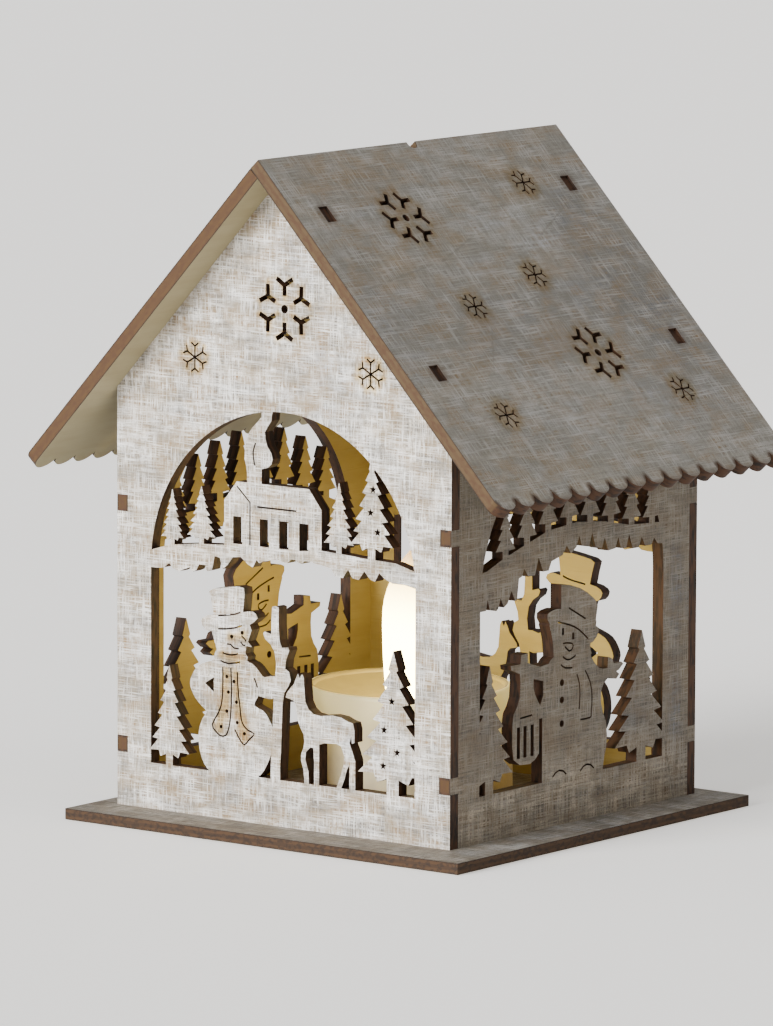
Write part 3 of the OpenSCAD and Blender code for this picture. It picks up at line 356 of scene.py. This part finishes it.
weave = {  # sizes in mm; a waver is how far in all, width, height, own number and detail
    "step": 7.3,  # between the clouds, so that no two are alike
    "rubbed": [(26, 9, 22, 0.75), (9, 2.6, 15, 0.8), (2.4, 9, 16, 0.6), (4.2, 0.9, 17, 0.75),
               (0.8, 4.5, 18, 0.7)],  # width, height, own number, share
    "rubbedDetail": 3, "rubbedFrom": (0.46, 0.66),
    "faded": 0.2, "fadedWorn": 0.6, "gaps": 0.3, "gapsWorn": 0.4, "thin": 0.7, "thick": 0.4,
    "raised": 0.65, "raisedWorn": 0.25, "bare": 0.3, "bareMore": 0.7, "flat": 0.6,
    "bandWaver": (3, 3, 12, 30, 2), "bandFade": 6, "bandCore": 0.4,
    "stainWaver": (14, 9, 6, 31, 3), "stainWaverUp": (9, 9, 5, 32, 3),
    "stainEdge": (1.15, 0.4),
    "crackWaver": (1.2, 1.2, 1.2, 12, 2), "crackEdge": (0.32, 0.05), "crackShare": 0.55,
}


def linenPrint(finish, x, y, look, marks):
    unit = dict(look, mm=1)

    def cloth(wide, tall, seed, detail):
        return finish.grain(finish.point(x / wide, y / tall, seed * weave["step"]), 1.0, detail)

    def cloud(name, top=1.0):
        wide, wideOf, tall, tallOf, seed, detail, low, high = clouds[name]
        return finish.rise(cloth(wide * unit[wideOf], tall * unit[tallOf], seed, detail),
                           low, high, top)

    def waver(amount, wide, tall, seed, detail):  # to either side, amount in all
        return cloth(wide, tall, seed, detail) * amount - amount / 2

    spot = finish.point(x, y)
    worn = cloud("worn")

    # the paint's own tones, the bands of the pattern and its stains
    tone = finish.blend(cloud("warm", look["warmShare"]), look["thread"], look["warm"])
    tone = finish.blend(cloud("cool", look["coolShare"]), tone, look["cool"])
    fade = weave["bandFade"]
    for along, low, high, wide, share in marks["bands"]:
        off = abs(x + waver(*weave["bandWaver"]) - along)
        inBand = finish.rise(off, wide, wide * weave["bandCore"], share)
        inBand = inBand * finish.rise(y, low, low + fade) * finish.rise(y, high, high - fade)
        tone = finish.blend(inBand, tone, look["cool"])
    warped = finish.point(x + waver(*weave["stainWaver"]), y + waver(*weave["stainWaverUp"]))
    for along, across, wide, tall, stain, share in marks["stains"]:
        gap = finish.vector("MULTIPLY", finish.vector("SUBTRACT", warped, (along, across, 0)),
                            (1 / wide, 1 / tall, 0))
        inside = finish.rise(finish.length(gap), *weave["stainEdge"], share)
        tone = finish.blend(inside, tone, stain)

    # patches rubbed along the threads, whole threads that took less paint, and dark gaps
    for wide, tall, seed, share in weave["rubbed"]:
        rubbed = finish.rise(cloth(wide, tall, seed, weave["rubbedDetail"]),
                             *weave["rubbedFrom"], share * look["fading"])
        tone = finish.blend(rubbed, tone, look["faded"])
    faded = cloud("fadedUpright").most(cloud("fadedLevel"))
    faded = faded * (weave["faded"] + weave["fadedWorn"] * worn) * look["fading"]
    tone = finish.blend(faded, tone, look["faded"])
    gaps = cloud("gapsLevel").most(cloud("gapsUpright"))
    tone = finish.blend(gaps * (weave["gaps"] + weave["gapsWorn"] * worn), tone, look["ground"])

    # the weave over its ground, and threads that stand out and took the most paint
    cover = 1 - (1 - cloud("upright")) * (1 - cloud("level"))
    cover = cover * (weave["thin"] + cloud("thin", weave["thick"]))
    ground = finish.blend(cloud("ground"), look["ground"], look["groundWarm"])
    colour = finish.blend(cover * (look["cover"] - look["wornThrough"] * worn), ground, tone)
    raised = cloud("raisedUpright").most(cloud("raisedLevel"))
    fresh = raised * (weave["raised"] - weave["raisedWorn"] * worn) * (
        weave["bare"] + weave["bareMore"] * cloud("bare"))
    colour = finish.blend(fresh, colour, look["light"])

    for start, end in marks["cracks"]:
        off = fromLine(finish, spot, start, end) + waver(*weave["crackWaver"])
        ragged = finish.rise(off, *weave["crackEdge"])
        colour = finish.blend(ragged * weave["crackShare"], colour, look["ground"])
    tint = scorched(finish, spot, marks, look["halo"], waver(*scorch["waver"]))
    if tint is not None:
        colour = finish.blend(tint * scorch["share"], colour, look["scorch"], "MULTIPLY")
    return colour, cover * weave["flat"] + raised


# Streaks of the bare face and specks of the cut edge: width, height and number of their own
plainGrain = {
    "step": 5.1, "rough": 0.55, "detail": 2,
    "fine": (9, 0.35, 22), "fineFrom": (0.5, 0.8), "fineShare": 0.35,
    "broad": (16, 4, 21), "broadDetail": 3, "broadFrom": (0.35, 0.7), "broadShare": 0.5,
}
sawn = {
    "step": 3.7, "slant": 0.7, "layer": (0.1, 0.2), "layerBurnt": 0.4,
    "specks": (0.9, 0.7, 41), "speckFrom": (0.46, 0.62), "speckShare": 0.6,
    "rim": (0.36, 0.48), "rimShare": 0.85,
    "chars": (2.5, 0.8, 42), "charFrom": (0.4, 0.7),
}


def bareWood(finish, x, y, look):  # quiet straight grain of the unpainted inner face
    def streak(wide, tall, seed, detail):
        return finish.grain(finish.point(x / wide, y / tall, seed * plainGrain["step"]), 1.0,
                            detail, plainGrain["rough"])

    fine = finish.rise(streak(*plainGrain["fine"], plainGrain["detail"]),
                       *plainGrain["fineFrom"])
    broad = finish.rise(streak(*plainGrain["broad"], plainGrain["broadDetail"]),
                        *plainGrain["broadFrom"])
    colour = finish.blend(broad * plainGrain["broadShare"], look["inside"], look["insideDark"])
    return finish.blend(fine * plainGrain["fineShare"], colour, look["insideDark"]), fine


def cutEdge(finish, x, y, deep, thick, look, openShare):
    # deep runs from 0 at the outer face to thick at the inner one
    def speck(wide, tall, seed):
        return finish.grain(finish.point((x + y * sawn["slant"]) / wide, deep / tall,
                                         seed * sawn["step"]), 1.0, 3.0)

    fromMiddle = abs(deep / thick - 0.5)
    wood = finish.blend(finish.rise(fromMiddle, *sawn["layer"]),
                        finish.blend(sawn["layerBurnt"], look["ply"], look["burnt"]),
                        look["ply"])
    specks = finish.rise(speck(*sawn["specks"]), *sawn["speckFrom"])
    wood = finish.blend(specks * sawn["speckShare"], wood, look["burnt"])
    rim = finish.rise(fromMiddle, *sawn["rim"])
    wood = finish.blend(rim * sawn["rimShare"], wood, look["char"])
    burnt = finish.blend(finish.rise(speck(*sawn["chars"]), *sawn["charFrom"]), look["burnt"],
                         look["char"])
    return finish.blend(openShare, burnt, wood)


plyRelief = {"wood": -0.6, "deep": 0.05, "strength": 0.6, "sheen": 0.3,  # deep in mm
             "rough": 0.72, "painted": -0.1}
outerFrom, innerFrom = (0.5, 0.7), (-0.5, -0.7)  # how far a face looks out, 1 is straight


def paintedPly(node, look, marks, openEdge=None, smoked=None):
    finish = Finish(node + "_ply")
    sheet = panels[node]
    reach = finish.vector("SUBTRACT", finish.place(), sheet["foot"])
    x = finish.along(reach, sheet["along"] / mm)
    y = finish.along(reach, sheet["across"] / mm)
    deep = finish.along(reach, -sheet["out"] / mm)
    facing = finish.along(finish.place("Normal"), sheet["out"])
    outer = finish.rise(facing, *outerFrom)
    inner = finish.rise(facing, *innerFrom)
    printed, threads = linenPrint(finish, x, y, look, marks)
    if smoked:
        printed = finish.blend(smoked(finish, x, y), printed, look["soot"])
    wood, woodGrain = bareWood(finish, x, y, look)
    edge = cutEdge(finish, x, y, deep, sheet["thick"], look,
                   openEdge(finish, x, y) if openEdge else 0.0)
    colour = finish.blend(inner, finish.blend(outer, edge, printed), wood)
    height = threads * outer + woodGrain * inner * plyRelief["wood"]
    finish.wear(base_color=colour, roughness=plyRelief["rough"] + outer * plyRelief["painted"],
                normal=finish.relief(height, plyRelief["deep"], plyRelief["strength"]))
    finish.feed(finish.shader, {"Specular IOR Level": plyRelief["sheen"]})
    dress(node, finish)


cornerTabs = {"low": 12.7, "high": 62.3, "tall": 3.3}  # mm above the base plate
edgeBand = (0.5, 0.2)  # mm in from a sheet's edge, where its sawn face begins
ridgeBand, tabBand = (0.6, 0.2), (0.15, 0.65)
houseHalf = (backTop.y - frontLow.y) / 2 / mm
soot = {  # mm round the notches and the slots, and how dark
    "stretch": 1.5, "above": 1.2, "notch": (2.3, 0.9), "notchShare": 0.9,
    "rim": 1.6, "rimShare": 0.5, "slot": (3.4, 2.0), "slotShare": 0.45,
    "waver": 1.4, "wisps": 0.9, "seed": 9.0,
    "far": 9,  # beyond the reach of any slot
}


def tabEnds(finish, x, y):  # side walls: the tab ends show on the gables' faces
    middle, apart = ((cornerTabs["high"] + end * cornerTabs["low"]) / 2 for end in (1, -1))
    fromTab = abs(abs(y - middle) - apart)
    inside = finish.rise(fromTab, *(cornerTabs["tall"] / 2 - band for band in tabBand))
    return finish.rise(abs(x), *(houseHalf - band for band in edgeBand)) * inside


def longEdges(finish, x, y):  # roof: the sawn front, back and ridge edges
    reach = house["roofDepth"] / 2
    return finish.rise(abs(x), *(reach - band for band in edgeBand)).most(
        finish.rise(y, *ridgeBand))


def plateEdges(finish, x, y):
    reach = (baseTop.x - baseLow.x) / 2 / mm
    return finish.rise(abs(x).most(abs(y)), *(reach - band for band in edgeBand))


def scallopSoot(finish, x, y):  # smoke in the notches between the scallops, and round slots
    pitch = house["roofDepth"] / house["scallops"]
    aside = abs((x + house["roofDepth"] / 2) % pitch - pitch / 2)
    wisps = finish.grain(finish.point(x, y, soot["seed"]), soot["wisps"], 3)
    waver = wisps * soot["waver"] - soot["waver"] / 2
    notch = finish.vector("DISTANCE", finish.point((pitch / 2 - aside) * soot["stretch"], y),
                          (0, house["roofLength"] - soot["above"], 0), "Value") + waver
    rim = finish.rise(y, house["roofLength"] - soot["rim"], house["roofLength"])
    slotAside = houseHalf - house["wall"] / 2
    slots = soot["far"]
    for down in house["roofTabs"]:
        slot = finish.vector("DISTANCE", finish.point(abs(x), y), (slotAside, down, 0), "Value")
        slots = slot.least(slots)
    inNotch = finish.rise(notch, *soot["notch"], soot["notchShare"])
    atSlot = finish.rise(slots + waver, *soot["slot"], soot["slotShare"])
    return inNotch.most(rim * soot["rimShare"]).most(atSlot)


paintedPly("front_wall", gableLook, gableMarks)
paintedPly("back_wall", gableLook, gableMarks)
paintedPly("right_wall", sideLook, sideMarks, tabEnds)
paintedPly("left_wall", sideLook, sideMarks, tabEnds)
paintedPly("roof_right", roofLook, roofMarks, longEdges, scallopSoot)
paintedPly("roof_left", leftRoofLook, roofMarks, longEdges, scallopSoot)
paintedPly("base_plate", baseLook, baseMarks, plateEdges)
print("plywood finished")


# Candle: heights in mm above the table, clouds, pores, spots and streaks per metre
candleLook = {
    "cream": paint(240, 224, 180), "shade": paint(212, 199, 166),
    "clouds": 260, "shadeFrom": (0.35, 0.7, 0.5),
    # dish: deep yellow, painted light of the flame; glow: a painted glow of the LED through the
    # shell
    "dish": paint(96, 80, 4), "dishShare": 0.85,
    "dishFloor": 22.4, "dishReach": 20.4, "dishSoft": 0.3,  # mm
    "glow": (1.0, 0.83, 0.22, 1), "glowStrength": 1.1, "glowFrom": (10, 27, 0.35),
    "rough": 0.34, "cloudRough": 0.16, "pores": 900, "poreDeep": 0.02, "poreStrength": 0.4,
}


def cream(node, lit=False):
    # moulded plastic; where it is lit, a painted glow near the dish stands in for the LED shining
    # through, and the dish's deep yellow is painted light of the flame
    look, finish = candleLook, Finish(node + "_cream")
    place = finish.place()
    cloud = finish.grain(place, look["clouds"], 3)
    colour = finish.blend(finish.rise(cloud, *look["shadeFrom"]), look["cream"], look["shade"])
    if lit:
        x, y, z = (finish.along(place, axis) for axis in (
            (1 / mm, 0, 0), (0, 1 / mm, 0), (0, 0, 1 / mm)))
        out = finish.length(finish.point(x, y))
        high, reach, soft = look["dishFloor"], look["dishReach"], look["dishSoft"]
        inDish = finish.rise(z, high - soft, high) * finish.rise(out, reach, reach - soft)
        colour = finish.blend(inDish * look["dishShare"], colour, look["dish"])
        glow = finish.rise(z, *look["glowFrom"]) * (1 - inDish)
        finish.wear(emission_color=finish.blend(glow, (0, 0, 0, 1), look["glow"]),
                    emission_strength=look["glowStrength"])
    pores = finish.grain(place, look["pores"], 2)
    finish.wear(base_color=colour, roughness=look["rough"] + cloud * look["cloudRough"],
                normal=finish.relief(pores, look["poreDeep"], look["poreStrength"]))
    dress(node, finish)


cream("candle_shell", lit=True)
cream("bottom_cap")
cream("battery_cover")


flameLook = {
    "foot": (1.0, 0.81, 0.34, 1), "high": (0.3, 0.2, 0.06, 1), "tip": (0.07, 0.035, 0.006, 1),
    "highFrom": (36, 50), "tipFrom": (47, 54), "strength": 27,
    "plastic": paint(250, 240, 214), "cloudy": paint(236, 218, 176), "clouds": 420,
    "cloudShare": 0.4, "rough": 0.42, "cloudRough": 0.2, "deep": 0.03, "relief": 0.5,
}


def flamePlastic():  # frosted lens, brightest round the LED in its foot
    look, finish = flameLook, Finish("flame_frosted")
    place = finish.place()
    z = finish.along(place, (0, 0, 1 / mm))
    cloud = finish.grain(place, look["clouds"], 2)
    glow = finish.blend(finish.rise(z, *look["highFrom"]), look["foot"], look["high"])
    glow = finish.blend(finish.rise(z, *look["tipFrom"]), glow, look["tip"])
    finish.wear(base_color=finish.blend(cloud * look["cloudShare"], look["plastic"],
                                        look["cloudy"]),
                roughness=look["rough"] + cloud * look["cloudRough"], emission_color=glow,
                emission_strength=look["strength"],
                normal=finish.relief(cloud, look["deep"], look["relief"]))
    dress("flame_lens", finish)


ledLook = {
    "resin": paint(196, 190, 120), "chip": paint(246, 242, 214), "chipFrom": (22, 24.5),
    "resinGlow": (0.9, 0.5, 0.08, 1), "chipGlow": (1, 0.8, 0.4, 1), "strength": 6,
    "spots": 700, "rough": 0.1, "spotRough": 0.12,
}


def ledResin():
    look, finish = ledLook, Finish("led_epoxy")
    chip = finish.rise(finish.along(finish.place(), (0, 0, 1 / mm)), *look["chipFrom"])
    spots = finish.grain(finish.place(), look["spots"], 2)
    finish.wear(base_color=finish.blend(chip, look["resin"], look["chip"]),
                roughness=look["rough"] + spots * look["spotRough"],
                emission_color=finish.blend(chip, look["resinGlow"], look["chipGlow"]),
                emission_strength=look["strength"])
    dress("led", finish)


metalLook = {
    "streaks": 90, "stains": 160, "stainFrom": (0.4, 0.8, 0.5), "stainTone": 0.7,
    "rough": 0.2, "streakRough": 0.3, "deep": 0.01, "relief": 0.4,
}


def steel(name, tone, brushed):  # brushed metal, its streaks square to x
    look, finish = metalLook, Finish(name)
    place = finish.place()
    streaks = finish.grain(finish.vector("MULTIPLY", place, (
        brushed, look["streaks"], look["streaks"])), 1, 3)
    stain = finish.rise(finish.grain(place, look["stains"], 3), *look["stainFrom"])
    dull = tuple(c * look["stainTone"] for c in tone[:3]) + (1,)
    finish.wear(base_color=finish.blend(stain, tone, dull), metallic=1.0,
                roughness=look["rough"] + streaks * look["streakRough"],
                normal=finish.relief(streaks, look["deep"], look["relief"]))
    return finish


cellLook = {
    "bright": paint(196, 196, 198), "dull": paint(150, 150, 154), "dullShare": 0.6,
    "rings": 5,  # per mm
    "rough": 0.24, "deep": 0.01, "relief": 0.5,
}


def cellSteel():  # drawn can of the coin cell, with turned rings
    look, finish = cellLook, Finish("cell_can")
    low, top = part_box("coin_cell")
    reach = finish.vector("MULTIPLY", finish.vector("SUBTRACT", finish.place(), (low + top) / 2),
                          (1 / mm, 1 / mm, 0))
    rings = finish.grain(finish.point(finish.length(reach) * look["rings"], 0.0), 1, 3)
    finish.wear(base_color=finish.blend(rings * look["dullShare"], look["bright"], look["dull"]),
                metallic=1.0, roughness=look["rough"] + rings * look["rough"],
                normal=finish.relief(rings, look["deep"], look["relief"]))
    dress("coin_cell", finish)


maskLook = {
    "green": paint(26, 84, 48), "overGlass": paint(44, 112, 66), "from": (0.5, 0.9),
    "glass": 2.2, "clouds": 0.3,  # per mm
    "glassShare": 0.4, "rough": 0.3, "glassRough": 0.2, "deep": 0.02, "relief": 0.5,
}


def laminate():  # green solder mask over woven glass
    look, finish = maskLook, Finish("board_mask")
    reach = finish.vector("MULTIPLY", finish.place(), (1 / mm,) * 3)
    glass = finish.grain(reach, look["glass"], 2)
    cloud = finish.grain(reach, look["clouds"], 3)
    bright = finish.rise(cloud + glass * look["glassShare"], *look["from"])
    finish.wear(base_color=finish.blend(bright, look["green"], look["overGlass"]),
                roughness=look["rough"] + glass * look["glassRough"],
                normal=finish.relief(glass, look["deep"], look["relief"]))
    dress("circuit_board", finish)


knobLook = {
    "black": paint(30, 30, 32), "worn": paint(52, 52, 54), "pores": 1800,
    "rough": 0.5, "poreRough": 0.2, "deep": 0.02, "relief": 0.5,
}


def blackPlastic(node):
    look, finish = knobLook, Finish(node + "_black")
    pores = finish.grain(finish.place(), look["pores"], 2)
    finish.wear(base_color=finish.blend(pores, look["black"], look["worn"]),
                roughness=look["rough"] + pores * look["poreRough"],
                normal=finish.relief(pores, look["deep"], look["relief"]))
    dress(node, finish)


flamePlastic()
ledResin()
laminate()
cellSteel()
blackPlastic("switch_knob")
for node, tone, brushed in [("led_legs", paint(206, 206, 204), 900),
                            ("board_screws", paint(188, 188, 190), 1500),
                            ("cap_screws", paint(188, 188, 190), 1500),
                            ("minus_contact", paint(214, 206, 184), 1200),
                            ("plus_contact", paint(214, 206, 184), 1200),
                            ("slide_switch", paint(170, 172, 176), 1400)]:
    dress(node, steel(node + "_plated", tone, brushed))
print("candle finished")


# Small parts inside the candle: solder on legs and pins, covered tracks and the link wire

boardLook = {
    "solder": 0.68, "solderHigh": 0.42, "solderSides": 16,  # mm, and the sides of a drop
    "dropShares": [(1, 0), (0.74, 0.25), (0.5, 0.6), (0.36, 1)],  # of radius and height
    "solderTone": paint(200, 200, 202), "solderStreaks": 700,
    "trackWide": 0.8, "trackHigh": 0.05, "pinPitch": 2.5, "linkPin": -4.6, "padInset": 1.2,
    "track": paint(58, 128, 78), "trackDull": paint(48, 112, 66), "trackSpots": 1500,
    "trackRough": 0.25,
    "wire": 0.3, "wireSides": 8, "wireTone": paint(120, 26, 22), "wireDull": paint(70, 14, 12),
    "wireSpots": 1800, "wireDullShare": 0.5, "wireRough": 0.4, "spotRough": 0.2,
    "wireUp": [(0, -0.5), (0, 0.9), (-0.3, 1.8), (-1.3, 2.3)],  # x and z from the contact
    "wireDown": [(0.9, 1.2), (0.2, 0.8), (0, 0.2)],  # and from the pad
}


def piece(name, mesh, finish, smooth=False):
    bmesh.ops.recalc_face_normals(mesh, faces=mesh.faces)
    data = bpy.data.meshes.new(name)
    mesh.to_mesh(data)
    mesh.free()
    for face in data.polygons:
        face.use_smooth = smooth
    data.materials.append(finish.material)
    made = bpy.data.objects.new(name, data)
    bpy.context.scene.collection.objects.link(made)
    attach(made, "candle")


def tube(mesh, rings, sides):  # joins rings of points into one closed skin
    loops = [[mesh.verts.new(place) for place in ring] for ring in rings]
    for first, second in zip(loops, loops[1:]):
        for a in range(sides):
            mesh.faces.new((first[a], first[a - 1], second[a - 1], second[a]))
    mesh.faces.new(loops[0])
    mesh.faces.new(loops[-1][::-1])


def solderDrops(places, foot, rise):
    mesh, sides = bmesh.new(), boardLook["solderSides"]
    turns = [2 * math.pi * a / sides for a in range(sides)]
    for x, y in places:
        tube(mesh, [[Vector((x + boardLook["solder"] * r * math.cos(t),
                             y + boardLook["solder"] * r * math.sin(t),
                             rise * boardLook["solderHigh"] * h)) * mm + foot for t in turns]
                    for r, h in boardLook["dropShares"]], sides)
    return mesh


def tracks(routes, foot):
    mesh = bmesh.new()
    half, high = boardLook["trackWide"] / 2, boardLook["trackHigh"]
    for route in routes:
        for start, end in zip(route, route[1:]):
            start, end = Vector(start), Vector(end)
            ahead = (end - start).normalized() * half
            aside = Vector((-ahead.y, ahead.x))
            corners = [start - ahead + aside, start - ahead - aside, end + ahead - aside,
                       end + ahead + aside]
            tube(mesh, [[Vector((*c, z)) * mm + foot for c in corners] for z in (0, high)],
                 len(corners))
    return mesh


def linkWire(path, y, thick):  # path holds x and z in metres
    mesh, sides = bmesh.new(), boardLook["wireSides"]
    rings = []
    for i, spot in enumerate(path):
        ahead = (path[min(i + 1, len(path) - 1)] - path[max(i - 1, 0)]).normalized()
        out = Vector((-ahead.y, ahead.x))
        rings.append([Vector((spot.x + out.x * thick * math.cos(t), y + thick * math.sin(t),
                              spot.y + out.y * thick * math.cos(t)))
                      for t in (2 * math.pi * a / sides for a in range(sides))])
    tube(mesh, rings, sides)
    return mesh


boardLow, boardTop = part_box("circuit_board")
legLow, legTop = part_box("led_legs")
switchLow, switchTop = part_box("slide_switch")
plusLow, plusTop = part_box("plus_contact")
legX = (legTop.x - (legTop.y - legLow.y) / 2) / mm
pinY = (switchLow.y + switchTop.y) / 2 / mm
plusX, plusY = (plusLow.x + plusTop.x) / 2, (plusLow.y + plusTop.y) / 2
padX = boardTop.x - boardLook["padInset"] * mm
pitch, linkPin = boardLook["pinPitch"], boardLook["linkPin"]
linkY, topFoot = plusY / mm, Vector((0, 0, boardTop.z))

drop = steel("solder_tin", boardLook["solderTone"], boardLook["solderStreaks"])
piece("leg_solder", solderDrops([(-legX, 0), (legX, 0)], Vector((0, 0, boardLow.z)), -1),
      drop, True)
piece("pin_solder", solderDrops([(-pitch, pinY), (0, pinY), (pitch, pinY), (linkPin, linkY),
                                 (padX / mm, linkY)], topFoot, 1),
      drop, True)

covered = Finish("covered_track")
gloss = covered.grain(covered.place(), boardLook["trackSpots"], 2)
covered.wear(base_color=covered.blend(gloss, boardLook["track"], boardLook["trackDull"]),
             roughness=boardLook["trackRough"] + gloss * boardLook["spotRough"])
piece("board_tracks", tracks([  # corners in mm
    [(padX / mm, linkY), (3, linkY), (legX, 1.6), (legX, 0.3)],
    [(linkPin, linkY), (-3.8, -8), (-pitch, -11.6), (-pitch, pinY)],
    [(-legX, -0.3), (-legX, -9), (0, -12), (0, pinY)]], topFoot), covered)

skin = Finish("wire_skin")
scuff = skin.grain(skin.place(), boardLook["wireSpots"], 2)
skin.wear(base_color=skin.blend(scuff * boardLook["wireDullShare"], boardLook["wireTone"],
                                boardLook["wireDull"]),
          roughness=boardLook["wireRough"] + scuff * boardLook["spotRough"])
wirePath = [Vector((fromX + x * mm, fromZ + z * mm)) for fromX, fromZ, bends in (
    (plusX, plusTop.z, boardLook["wireUp"]), (padX, boardTop.z, boardLook["wireDown"]))
    for x, z in bends]
piece("plus_wire", linkWire(wirePath, plusY, boardLook["wire"] * mm), skin,
      True)
print("board wired")


# Studio: pale floor, broad soft light from the front, a weak one from the right, even room

studio = {
    "floor": paint(236, 234, 231), "floorShade": paint(228, 226, 223), "shadeShare": 0.2,
    "clouds": 30, "floorRough": 0.9, "floorGlow": 0.5,
    "floorSize": 16,  # m
    "floorGap": 0.1, "floorRim": 3,  # mm below the plate, and inwards from its edge
    "lamps": {  # turn from the front, height and softness in degrees, power
        "key": (-12, 20, 40, 7.2), "fill": (82, 28, 60, 0.5),
    },
    "sky": (1.0, 0.99, 0.975, 1), "skyPower": 0.5,
}
cameraSet = {
    "turn": 37.363, "dip": 7.979, "roll": 0.229,  # degrees
    "place": (0.99587, -1.31225, 0.29290),  # m
    "focal": 8155.13, "frameHeight": 1026,  # pixels
    "sensor": 36,  # mm
}


def layFloor():
    # the floor is open under the base plate, so that the candle can be taken out downwards
    mesh = bmesh.new()
    half, low = studio["floorSize"] / 2, -studio["floorGap"] * mm
    (x0, y0, _), (x1, y1, _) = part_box("base_plate")
    rim = studio["floorRim"] * mm
    lines = [(-half, x0 + rim, x1 - rim, half), (-half, y0 + rim, y1 - rim, half)]
    grid = [[mesh.verts.new((x, y, low)) for x in lines[0]] for y in lines[1]]
    for j in range(3):
        for i in range(3):
            if (i, j) != (1, 1):
                mesh.faces.new((grid[j][i], grid[j][i + 1], grid[j + 1][i + 1],
                                grid[j + 1][i]))
    data = bpy.data.meshes.new("studio_floor")
    mesh.to_mesh(data)
    mesh.free()
    finish = Finish("studio_paper")
    cloud = finish.grain(finish.place(), studio["clouds"], 3)
    finish.wear(base_color=finish.blend(cloud * studio["shadeShare"], studio["floor"],
                                        studio["floorShade"]),
                roughness=studio["floorRough"], emission_color=studio["floor"],
                emission_strength=studio["floorGlow"])
    data.materials.append(finish.material)
    floor = bpy.data.objects.new("studio_floor", data)
    bpy.context.scene.collection.objects.link(floor)


def lightStudio():
    for name, (turn, height, soft, power) in studio["lamps"].items():
        sun = bpy.data.lights.new(name + "_light", "SUN")
        sun.energy = power
        sun.angle = math.radians(soft)
        turn, height = math.radians(turn), math.radians(height)
        aim = Vector((math.sin(turn) * math.cos(height), -math.cos(turn) * math.cos(height),
                      math.sin(height)))
        lamp = bpy.data.objects.new(sun.name, sun)
        lamp.rotation_mode = "QUATERNION"
        lamp.rotation_quaternion = aim.to_track_quat("Z", "Y")
        bpy.context.scene.collection.objects.link(lamp)
    world = bpy.data.worlds.new("pale_room")
    world.use_nodes = True
    background = world.node_tree.nodes["Background"]
    background.inputs["Color"].default_value = studio["sky"]
    background.inputs["Strength"].default_value = studio["skyPower"]
    bpy.context.scene.world = world


def placeCamera():
    turn, dip, roll = (math.radians(cameraSet[key]) for key in ("turn", "dip", "roll"))
    ahead = Vector((-math.sin(turn) * math.cos(dip), math.cos(turn) * math.cos(dip),
                    -math.sin(dip)))
    right = Vector((math.cos(turn), math.sin(turn), 0))
    upward = right.cross(ahead)
    rolledRight = math.cos(roll) * right + math.sin(roll) * upward
    rolledUp = math.cos(roll) * upward - math.sin(roll) * right
    data = bpy.data.cameras.new("camera")
    data.sensor_fit = "AUTO"
    data.sensor_width = cameraSet["sensor"]
    data.lens = cameraSet["focal"] * cameraSet["sensor"] / cameraSet["frameHeight"]
    camera = bpy.data.objects.new("camera", data)
    camera.matrix_world = Matrix.Translation(cameraSet["place"]) @ Matrix(
        (rolledRight, rolledUp, -ahead)).transposed().to_4x4()
    bpy.context.scene.collection.objects.link(camera)
    bpy.context.scene.camera = camera


layFloor()
lightStudio()
placeCamera()
print("studio set")
